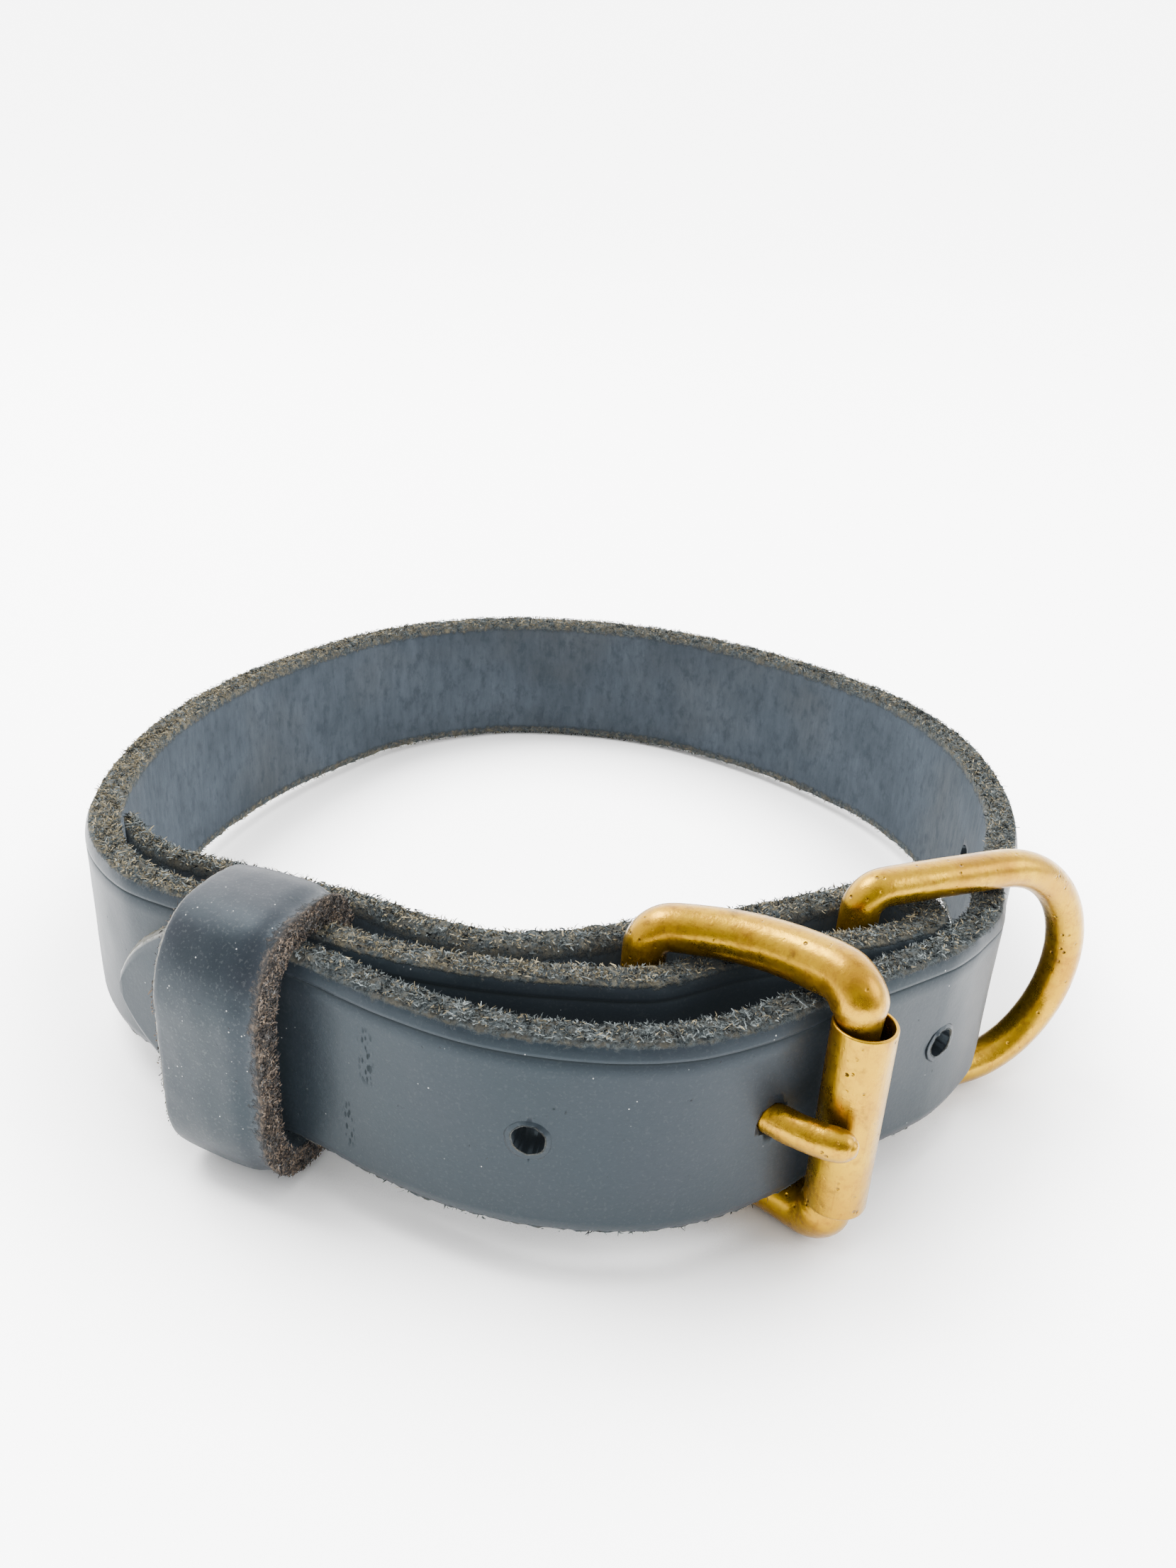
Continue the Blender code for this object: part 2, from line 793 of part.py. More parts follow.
def make_prong(plan, parts, cutters, root):
    """A round bar from an eye on the heel bar, flattened a little at its tip."""
    points = [plan_point(point) for point in plan.prong]
    radii = [PRONG_WIRE / 2] * len(points)
    radii[-1] = PRONG_TIP_SHARE * PRONG_WIRE / 2
    radii[-2] = PRONG_NECK_SHARE * PRONG_WIRE / 2
    bar = add("prong_bar", wire("prong_bar", points, radii, False), cutters, root)
    bar = to_mesh(bar)
    bar.hide_render = True
    bar.display_type = "WIRE"
    eye = cylinder(EYE_RADIUS, PRONG_EYE_HEIGHT)
    prong = add("prong", eye, parts, root, brass("prong_brass"))
    prong.location = plan_point(HEEL)
    bore = add_cutter("eye_bore", cylinder(HEEL_BAR / 2 + FIT, 2 * PRONG_EYE_HEIGHT), cutters, root)
    join(prong, bar)
    cut(prong, bore)
    shade_round(prong.data)
    return prong


def make_roller(plan, parts, root):
    """A thin tube that turns on the buckle's front bar."""
    outer = ROLLER_OUTSIDE / 2
    inner = outer - ROLLER_WALL
    end = ROLLER_LENGTH / 2
    profile = [
        (outer - ROLLER_EDGE, end),
        (outer, end - ROLLER_EDGE),
        (outer, ROLLER_EDGE - end),
        (outer - ROLLER_EDGE, -end),
        (inner, -end),
        (inner, end),
    ]
    roller = add("roller", turned("roller", profile), parts, root, brass("roller_brass"))
    roller.location = plan_point(plan.roller)
    return turn(roller)


def ring_outline():
    """The ring's middle line: along its bar is up, and out from it is across."""
    across = []
    bend = RING_CORNER
    for step in range(6):
        angle = step * pi / 2 / 5
        across.append((bend * (1 - cos(angle)), RING_RISE - bend * (1 - sin(angle))))
    for share in np.linspace(0, 1, 4)[1:-1]:
        across.append((bend + share * (RING_STRAIGHT - bend), RING_RISE))
    half = []
    for step in range(10):
        angle = step * pi / 2 / 9
        half.append((RING_STRAIGHT + RING_NOSE * sin(angle), RING_RISE * cos(angle)))
    upper = across + half
    lower = [(out, -rise) for out, rise in reversed(upper[:-1])]
    return upper + lower


def make_ring(plan, parts, root):
    """A leash ring: a straight bar in the fold and a bow round the outer layer."""
    points = [Vector((out, 0.0, rise)) for out, rise in ring_outline()]
    radii = [RING_WIRE / 2] * len(points)
    ring = add("d_ring", wire("d_ring", points, radii, True), parts, root, brass("ring_brass"))
    ring.location = plan_point(RING_BAR, RING_LIFT)
    ring.rotation_euler = (0.0, 0.0, RING_SWING)
    return ring


def rivet_places(plan):
    """Each rivet's place on the middle layer, its direction and the grip."""
    rows = []
    place, inward, behind, share, _ = plan.stack[seat("left rivet")]
    rows.append(("rivet_left", place, inward, behind, share))
    along = (SPAN[0][0] + SPAN[1][0]) / 2
    pinch = (SPAN[0][1] + SPAN[1][1]) / 2
    inward = left_of(SPAN_AXIS)
    gap = pinch * HEEL_GAP
    place = HEEL + along * RING_SPACING * SPAN_AXIS - (gap / 2 + HALF) * inward
    rows.append(("rivet_right", place, inward, gap + STRAP_THICKNESS, 1.0))
    return rows


def make_rivets(plan, parts, root):
    """Plain rivets through the middle and the inner layer, out of sight."""
    made = []
    for name, place, inward, behind, share in rivet_places(plan):
        grip = HALF + behind + share * HALF + 2 * RIVET_SEAT
        head = RIVET_HEAD / 2
        shank = RIVET_SHANK / 2
        top = grip / 2 + RIVET_HEAD_HEIGHT
        profile = [
            (0.0, top),
            (head, top),
            (head, grip / 2),
            (shank, grip / 2),
            (shank, -grip / 2),
            (head, -grip / 2),
            (head, -top),
            (0.0, -top),
        ]
        rivet = add(name, turned(name, profile), parts, root, brass(f"{name}_brass"))
        rivet.location = plan_point(place + (grip / 2 - HALF - RIVET_SEAT) * inward)
        point_along(rivet, inward)
        made.append(turn(rivet, 16))
    return made


# Putting it on its edge


def lean_back(plan):
    """The angle at which what hangs under the strap and its back edge touch."""
    back = LOOP_DEPTH + HALF
    ring_drop = RING_RISE - RING_LIFT + RING_WIRE / 2 - STRAP_WIDTH / 2
    ring_reach = RING_BAR[1] + RING_STRAIGHT * sin(RING_SWING)
    arm_drop = ARM_CLEAR + ARM_WIRE - STRAP_WIDTH / 2
    keeper_drop = KEEPER_BOTTOM_GAP + KEEPER_WALL
    keeper_reach = plan.stack[seat("keeper")][0][1] + STRAP_THICKNESS + KEEPER_WALL
    return max(
        atan2(ring_drop, back - ring_reach),
        atan2(arm_drop, back - HEEL[1]),
        atan2(keeper_drop, back - keeper_reach),
    )


def stand(plan, parts, root):
    """Moves the whole so that the middle of its box's floor is the origin."""
    root.rotation_euler = (-lean_back(plan), 0.0, 0.0)
    bpy.context.view_layer.update()
    depsgraph = bpy.context.evaluated_depsgraph_get()
    corners = []
    for item in parts.objects:
        if item.type == "EMPTY":
            continue
        evaluated = item.evaluated_get(depsgraph)
        data = evaluated.to_mesh()
        corners += [evaluated.matrix_world @ vertex.co for vertex in data.vertices]
        evaluated.to_mesh_clear()
    low = [min(corner[axis] for corner in corners) for axis in range(3)]
    high = [max(corner[axis] for corner in corners) for axis in range(3)]
    root.location = (-(low[0] + high[0]) / 2, -(low[1] + high[1]) / 2, -low[2])
    bpy.context.view_layer.update()


def main():
    clear_scene()
    parts = new_collection(PARTS)
    cutters = new_collection(CUTTERS, hidden=True)
    root = bpy.data.objects.new("collar_root", None)
    parts.objects.link(root)
    plan = Plan()
    make_strap(plan, parts, cutters, root)
    make_keeper(plan, parts, root)
    make_buckle(plan, parts, root)
    make_prong(plan, parts, cutters, root)
    make_roller(plan, parts, root)
    make_ring(plan, parts, root)
    make_rivets(plan, parts, root)
    stand(plan, parts, root)


main()
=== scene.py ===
"""The looks of a buckled leather pet collar: worn black leather with raw edges, and brass.

Every piece is built in level coordinates, where the strap's width runs along
Z, and its object carries the collar's lean. The strap's line is read off the
CAD solid, so a piece stays where the frame has it.
"""

import json
from math import atan2, cos, pi, radians, sin

import bmesh
import bpy
import numpy as np
from mathutils import Matrix, Vector, noise


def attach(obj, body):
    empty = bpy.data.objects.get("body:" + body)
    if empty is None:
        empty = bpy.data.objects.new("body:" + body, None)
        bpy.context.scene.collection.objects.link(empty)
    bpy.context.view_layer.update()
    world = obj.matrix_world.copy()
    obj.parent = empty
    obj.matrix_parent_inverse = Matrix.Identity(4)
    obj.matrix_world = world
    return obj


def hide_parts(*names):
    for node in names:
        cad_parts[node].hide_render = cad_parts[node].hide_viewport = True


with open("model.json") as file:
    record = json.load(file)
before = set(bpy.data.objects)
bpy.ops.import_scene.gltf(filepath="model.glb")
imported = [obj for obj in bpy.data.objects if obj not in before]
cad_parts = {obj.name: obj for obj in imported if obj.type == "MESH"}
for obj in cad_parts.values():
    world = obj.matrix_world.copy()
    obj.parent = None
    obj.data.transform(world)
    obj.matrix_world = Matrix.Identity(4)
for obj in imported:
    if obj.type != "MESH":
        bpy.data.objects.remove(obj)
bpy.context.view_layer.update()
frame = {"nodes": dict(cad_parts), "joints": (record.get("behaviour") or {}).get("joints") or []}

MM = 0.001

# The photograph: its height and its focal length in pixels
PHOTO_HEIGHT = 2212
FOCAL_PIXELS = 1660.0
SENSOR = 36.0

# The camera's place, pitch below the horizon, heading and roll
CAMERA_PLACE = (0.05 * MM, -168.15 * MM, 109.69 * MM)
CAMERA_PITCH = radians(26.957)
CAMERA_HEADING = radians(-0.398)
CAMERA_ROLL = radians(3.329)

# The strap, as in the CAD model: its rim, its taper and its holes, which are
# counted from the prong's towards the tip
STRAP_RIM = 0.7 * MM
TIP_TAPER = 13.0 * MM
TIP_REACH = 85.0 * MM
HOLE_PITCH = 26.6 * MM
HOLE_RADIUS = 2.0 * MM
OPEN_HOLES = (-3, -2, -1, 1)

# The skin over it: its rings' distance, a tip worn blunt, and a fold that
# bulges until it nearly touches the right turn
STRAP_STEP = 0.45 * MM
TIP_POWER = 0.5
TIP_WEAR = 1.4 * MM
FOLD_BULGE = 1.4 * MM
FOLD_BULGE_WIDTH = 5.5 * MM

# The section's rounded edges: how deep the grain side's is, as a share of the
# thickness and at most, how far in from the rim it and the flesh side's begin,
# and the half width under which they shrink
EDGE_SHARE = 0.34
EDGE_MOST = 1.3 * MM
EDGE_IN = 0.55 * MM
EDGE_DROP = 0.9 * MM
NARROW = 3.0 * MM

# The crease line along the grain side's top, which fades out before the tip
CREASE_DROP = 2.1 * MM
CREASE_DEPTH = 0.22 * MM
CREASE_WIDTH = 0.22 * MM
CREASE_ENDS = 15.0 * MM

# The punches, which are longer than the strap is thick, and the holes' lips
PUNCH_SPARE = 1.4 * MM
LIP_LIFT = 0.26 * MM
LIP_STEPS = 64
LIP_TORN = (1.0, 0.9, 0.35, 0.0, 0.0, 0.0, 0.0)
LIP = (
    # how far from the hole's edge in millimetres, how high as a share of the lift
    (0.0, -0.6),
    (-0.04, 0.5),
    (0.08, 1.0),
    (0.25, 0.55),
    (0.55, 0.05),
    (0.8, -0.6),
    (0.4, -1.2),
)

# The raw edges: how uneven they are, and the slivers that stand off them
FUZZ_HEIGHT = 0.34 * MM
FIBRES_PER_MM = 68
FIBRE_LENGTH = (0.18 * MM, 0.66 * MM)
FIBRE_WIDTH = (0.08 * MM, 0.22 * MM)
FIBRE_ROWS = (
    # share of the length, share of the width
    (-0.15, 1.0),
    (0.5, 0.9),
    (1.0, 0.35),
)
TOP_SHARE = 0.84
TUFTS = 26
FIBRES_PER_TUFT = 9
TUFT_SPREAD = 0.25 * MM
SEED = 7

# How tan the raw edge is along the strap
WARMTH = (
    # share of the length, warmth
    (0.00, 0.35),
    (0.18, 0.38),
    (0.24, 0.55),
    (0.40, 0.72),
    (0.50, 0.58),
    (0.60, 0.40),
    (0.75, 0.32),
    (0.84, 0.14),
    (0.94, 0.12),
    (1.00, 0.40),
)

# Rows of small cracks in the grain, across the strap, and a distance from the
# tip that lies far from all of them
NO_CRACKS = 1.0
CRACK_FADE = 1.5 * MM
CRACKS = (
    # from the tip, half width, lowest, highest
    (39.4 * MM, 1.2 * MM, 0.5 * MM, 8.6 * MM),
    (36.6 * MM, 1.0 * MM, -9.5 * MM, -2.5 * MM),
)

# The keeper, as in the CAD model, and what its skin adds: softer corners, a
# dome along it, a hollow and a frayed border beside the raw end, and fibres
KEEPER_WALL = 3.4 * MM
KEEPER_RIM = 0.6 * MM
KEEPER_STEP = 0.4 * MM
KEEPER_SOFTNESS = 1.3 * MM
KEEPER_DOME = 0.45 * MM
KEEPER_HOLLOW = 0.50 * MM
KEEPER_HOLLOW_AT = 1.4 * MM
KEEPER_HOLLOW_WIDTH = 1.5 * MM
KEEPER_FRAY = 2.0 * MM
KEEPER_FIBRES = 15000
KEEPER_FIBRE_SIZE = 0.6
KEEPER_FIBRE_STANDING = 0.7

# The wires, as in the CAD model, the prong's bar outside the strap, and the room
# that it has in its hole
BUCKLE_WIRE = 5.7 * MM
RING_WIRE = 5.0 * MM
PRONG_WIRE = 3.7 * MM
PRONG_SHOWN = 8.0 * MM
PRONG_ROUNDING = 2.6 * MM
PRONG_ROOM = 0.35 * MM

# An eight-sided wire smoothed inside its corners comes out this share thinner
WIRE_LOSS = 0.049

# The roller's tube, as in the CAD model, and the ends that its wall rounds
ROLLER_WALL = 0.45 * MM
ROLLER_END = 0.5 * MM

# Brass is a little hazy with wax, so not all of it reflects
BRASS_METAL = 0.92

# How near something has to be for the brass to darken there, partly as grime and partly as painted shade
SHADE_AND_GRIME_REACH = 1.6 * MM

# The stage: a white sweep that glows, less so within reach of the collar to paint a soft
# shadow there, a sky that is dimmer behind the camera, and lamps
SWEEP_FRONT = -4.0
SWEEP_START = 1.4
SWEEP_RADIUS = 1.2
SWEEP_HEIGHT = 4.0
SWEEP_SIDE = 5.0
SWEEP_STEPS = 16
FLOOR_GLOW = 4.2
SHADOW_REACH = 30.0 * MM
SKY = 3.0
SKY_BEHIND = 0.7
LAMPS = (
    # name, place, size, power
    ("key", (-0.45, 0.25, 0.95), 0.5, 22.0),
    ("side", (0.8, -0.2, 0.5), 0.4, 5.0),
)

UP = Vector(frame["joints"][0]["axis"]).normalized()
LEAN = atan2(UP.y, UP.z)
LEVEL = Matrix.Rotation(LEAN, 4, "X")
STAND = LEVEL.inverted()


# Reading the frame


def level_mesh(node):
    """A welded bmesh of a CAD node in level coordinates."""
    shape = bmesh.new()
    shape.from_mesh(frame["nodes"][node].data)
    shape.transform(LEVEL)
    bmesh.ops.remove_doubles(shape, verts=shape.verts, dist=0.001 * MM)
    shape.normal_update()
    return shape


def level_box(node):
    """The lowest and the highest corner of a CAD node in level coordinates."""
    shape = level_mesh(node)
    places = np.array([vertex.co for vertex in shape.verts])
    shape.free()
    return places.min(axis=0), places.max(axis=0)


def rim_cycle(shape, faces):
    """The places round the outline of some faces, in order."""
    chosen = set(faces)
    after = {}
    for face in faces:
        for loop in face.loops:
            if sum(other in chosen for other in loop.edge.link_faces) == 1:
                after[loop.vert] = loop.link_loop_next.vert
    start = next(iter(after))
    cycle = [start]
    while after[cycle[-1]] is not start:
        cycle.append(after[cycle[-1]])
    return np.array([vertex.co[:2] for vertex in cycle])


def strap_line():
    """The strap's middle line in the plan, from its free end to its tip.

    The solid's top edge is one long flat strip, whose two sides have a corner
    at each station. Returns the line, the thickness at each of its points and
    the heights of the strap's two edges.
    """
    shape = level_mesh("strap")
    places = np.array([vertex.co for vertex in shape.verts])
    bottom, top = places[:, 2].min(), places[:, 2].max()
    level = top - 0.01 * MM
    strip = [face for face in shape.faces if min(vertex.co.z for vertex in face.verts) > level]
    cycle = rim_cycle(shape, strip)
    shape.free()
    onward = np.roll(cycle, -1, axis=0) - cycle
    before = np.roll(onward, 1, axis=0)
    crossed = before[:, 0] * onward[:, 1] - before[:, 1] * onward[:, 0]
    turns = np.arctan2(crossed, (before * onward).sum(axis=1))
    corners = np.flatnonzero(np.abs(turns) > radians(60))
    first = corners[np.flatnonzero(np.diff(corners) > 1)[0]]
    cycle = np.roll(cycle, -first, axis=0)
    last = (corners - first).max() if first == corners[0] else (corners - first)[corners > first][0]
    side = cycle[: last + 1]
    other = cycle[: last : -1]
    matched = []
    for index, corner in enumerate(side):
        expected = round(index * (len(other) - 1) / (len(side) - 1))
        near = other[max(expected - 2, 0) : expected + 3]
        matched.append(near[np.argmin(np.hypot(*(near - corner).T))])
    matched = np.array(matched)
    line = (side + matched) / 2
    thickness = np.hypot(*(side - matched).T) + 2 * STRAP_RIM
    if thickness[0] > thickness[-1]:
        line = line[::-1]
        thickness = thickness[::-1]
    low = np.abs(places[:, 2] - (top + bottom) / 2) < (top - bottom) / 8
    ahead = (places[:, :2] - line[-1]) @ (line[-1] - line[-2]) > 0
    near = np.hypot(*(places[:, :2] - line[-1]).T) < 1.2 * TIP_TAPER
    end = places[low & ahead & near, :2].mean(axis=0)
    return np.vstack([line, end]), np.append(thickness, thickness[-1]), (bottom, top)


def smooth_line(points, values, step):
    """Even samples of a smooth curve through points, with their values."""
    ends = [2 * points[0] - points[1], *points, 2 * points[-1] - points[-2]]
    dense = []
    dense_values = []
    for index in range(len(points) - 1):
        a, b, c, d = ends[index : index + 4]
        square = 2 * a - 5 * b + 4 * c - d
        cube = 3 * b - a - 3 * c + d
        for t in np.linspace(0, 1, 12, endpoint=False):
            dense.append(0.5 * (2 * b + (c - a) * t + square * t**2 + cube * t**3))
            dense_values.append(values[index] * (1 - t) + values[index + 1] * t)
    dense.append(points[-1])
    dense_values.append(values[-1])
    dense = np.array(dense)
    lengths = np.concatenate([[0.0], np.cumsum(np.hypot(*np.diff(dense, axis=0).T))])
    count = int(lengths[-1] / step)
    travelled = np.linspace(0, lengths[-1], count + 1)
    even = np.stack([np.interp(travelled, lengths, dense[:, axis]) for axis in (0, 1)], axis=1)
    return even, np.interp(travelled, lengths, dense_values), travelled


def fuller_fold(line, travelled):
    """The line with the fold round the leash ring's bar bulged away from the bar."""
    swing = next(joint for joint in frame["joints"] if joint["name"] == "ring_swing")
    bar = np.array((LEVEL @ Vector(swing["pos_m"]))[:2])
    early = travelled < 0.5 * travelled[-1]
    apex = int(np.argmax(np.where(early, line[:, 0], -1.0)))
    outward = line[apex] - bar
    outward /= np.hypot(*outward)
    share = np.exp(-(((travelled - travelled[apex]) / FOLD_BULGE_WIDTH) ** 2))
    return line + FOLD_BULGE * share[:, None] * outward


def sides(line, cyclic=False):
    """The direction to the left of travel at each point of a line."""
    if cyclic:
        along = np.roll(line, -1, axis=0) - np.roll(line, 1, axis=0)
    else:
        along = np.gradient(line, axis=0)
    along /= np.hypot(*along.T)[:, None]
    return np.stack([-along[:, 1], along[:, 0]], axis=1)


# Mesh helpers


def place(name, data, body, replaced=(), slot=None):
    """Puts a piece that was built in level coordinates on its body."""
    item = bpy.data.objects.new(name, data)
    bpy.context.scene.collection.objects.link(item)
    item.matrix_world = STAND
    bpy.context.view_layer.update()
    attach(item, body)
    if replaced:
        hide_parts(*replaced)
    return item


def grid_mesh(name, places, attributes, cyclic, capped):
    """A closed mesh over rows of points, each row a ring round the section."""
    rows, columns = places.shape[:2]
    data = bpy.data.meshes.new(name)
    index = np.arange(rows * columns).reshape(rows, columns)
    following = np.roll(index, -1, axis=1)
    if cyclic:
        below = np.roll(index, -1, axis=0)
        quads = np.stack([index, following, np.roll(following, -1, axis=0), below], axis=-1)
    else:
        quads = np.stack([index[:-1], following[:-1], following[1:], index[1:]], axis=-1)
    faces = [tuple(quad) for quad in quads.reshape(-1, 4).tolist()]
    if capped:
        faces.append(tuple(reversed(index[0].tolist())))
        faces.append(tuple(index[-1].tolist()))
    data.from_pydata(places.reshape(-1, 3).tolist(), [], faces)
    for attribute, values in attributes.items():
        layer = data.attributes.new(attribute, "FLOAT", "POINT")
        layer.data.foreach_set("value", values.reshape(-1).astype(np.float32))
    data.shade_smooth()
    shape = bmesh.new()
    shape.from_mesh(data)
    bmesh.ops.recalc_face_normals(shape, faces=shape.faces)
    shape.to_mesh(data)
    shape.free()
    return data


def rough(place_at, scale, octaves=3):
    """Fractal noise between about -1 and 1 at a place, features of one size."""
    return noise.fractal(place_at / scale, 0.8, 2.1, octaves)


# Materials


class Nodes:
    """A short way to write a material's node tree."""

    def __init__(self, name):
        self.material = bpy.data.materials.new(name)
        self.material.use_nodes = True
        self.tree = self.material.node_tree
        self.shader = self.tree.nodes["Principled BSDF"]
        self.place = self.add("ShaderNodeTexCoord").outputs["Object"]

    def add(self, kind, **settings):
        node = self.tree.nodes.new(kind)
        for key, value in settings.items():
            setattr(node, key, value)
        return node

    def link(self, source, target):
        self.tree.links.new(source, target)

    def set(self, node, **values):
        for key, value in values.items():
            socket = node.inputs[key.replace("_", " ")]
            if isinstance(value, bpy.types.NodeSocket):
                self.link(value, socket)
            else:
                socket.default_value = value
        return node

    def stretched(self, scale):
        """The place in the object, scaled along each axis."""
        mapping = self.add("ShaderNodeMapping")
        self.link(self.place, mapping.inputs["Vector"])
        mapping.inputs["Scale"].default_value = scale
        return mapping.outputs["Vector"]

    def noise(self, scale, detail=4.0, roughness=0.6, place=None, distortion=0.0):
        node = self.add("ShaderNodeTexNoise")
        self.set(node, Vector=place or self.place, Scale=scale, Detail=detail)
        self.set(node, Roughness=roughness, Distortion=distortion)
        return node.outputs["Fac"]

    def cells(self, scale, place=None):
        """The distance to the nearest of many scattered points."""
        node = self.add("ShaderNodeTexVoronoi")
        self.set(node, Vector=place or self.place, Scale=scale)
        return node.outputs["Distance"]

    def ramp(self, value, low, high, from_low=0.0, from_high=1.0):
        """A value stretched from one range to another, and clamped."""
        node = self.add("ShaderNodeMapRange")
        self.set(node, Value=value, From_Min=low, From_Max=high, To_Min=from_low, To_Max=from_high)
        return node.outputs["Result"]

    def maths(self, operation, first, second):
        node = self.add("ShaderNodeMath", operation=operation)
        for socket, value in zip(node.inputs, (first, second)):
            if isinstance(value, bpy.types.NodeSocket):
                self.link(value, socket)
            else:
                socket.default_value = value
        return node.outputs["Value"]

    def mix(self, share, first, second):
        node = self.add("ShaderNodeMix", data_type="RGBA")
        for socket, value in zip((node.inputs[0], node.inputs[6], node.inputs[7]), (share, first, second)):
            if isinstance(value, bpy.types.NodeSocket):
                self.link(value, socket)
            else:
                socket.default_value = value
        return node.outputs[2]

    def attribute(self, name):
        node = self.add("ShaderNodeAttribute", attribute_name=name)
        return node.outputs["Fac"]

    def bump(self, height, distance, strength=1.0, normal=None):
        node = self.add("ShaderNodeBump")
        self.set(node, Height=height, Distance=distance, Strength=strength)
        if normal:
            self.link(normal, node.inputs["Normal"])
        return node.outputs["Normal"]


def colour(red, green, blue):
    """An opaque colour in linear light."""
    return (red, green, blue, 1.0)


# The strap's grain and flesh sides, its raw edges and the crumbs on them, the
# keeper's raw end, and the brass
GRAIN_DARK = colour(0.0024, 0.0043, 0.0066)
GRAIN_LIGHT = colour(0.0070, 0.0105, 0.0140)
GRAIN_PURPLE = colour(0.0115, 0.0105, 0.0150)
FLESH_DARK = colour(0.012, 0.0155, 0.0200)
FLESH_LIGHT = colour(0.038, 0.046, 0.057)
FLESH_BROWN = colour(0.038, 0.037, 0.035)
FELT_DARK = colour(0.007, 0.009, 0.010)
FELT_GREY = colour(0.088, 0.102, 0.106)
FELT_BROWN = colour(0.066, 0.058, 0.042)
FELT_OCHRE = colour(0.190, 0.162, 0.100)
CRUMB_GREY = colour(0.185, 0.210, 0.210)
CRUMB_OCHRE = colour(0.340, 0.288, 0.178)
RUST_DARK = colour(0.020, 0.019, 0.019)
RUST_BROWN = colour(0.058, 0.050, 0.045)
RUST_LIGHT = colour(0.260, 0.195, 0.140)
RUST_GREY = colour(0.125, 0.120, 0.115)
PALE_EDGE = colour(0.200, 0.195, 0.170)
SPECK = colour(0.55, 0.56, 0.54)
BRASS_BRIGHT = colour(0.345, 0.200, 0.002)
BRASS_DEEP = colour(0.275, 0.132, 0.002)
BRASS_BROWN = colour(0.150, 0.062, 0.008)
# Grime on the brass, and also the colour of painted shade where other parts come near
BRASS_GRIME_AND_SHADE = colour(0.062, 0.030, 0.009)
WHITE = colour(1.0, 1.0, 1.0)

# The wax on the leather: how much it shines and in which tint, a faint pale painted glow in
# that tint which lifts the leather's shade, and the roughness where there is none
LEATHER_SHINE = 0.19
LEATHER_TINT = colour(0.72, 0.90, 1.0)
LEATHER_PAINTED_GLOW = 0.012
UNWAXED = colour(1.0, 1.0, 1.0)

# The colours of a raw edge: dark, middle, brown patches and light flecks
FELT = (FELT_DARK, FELT_GREY, FELT_BROWN, FELT_OCHRE)
RUST = (RUST_DARK, RUST_BROWN, RUST_BROWN, RUST_LIGHT)


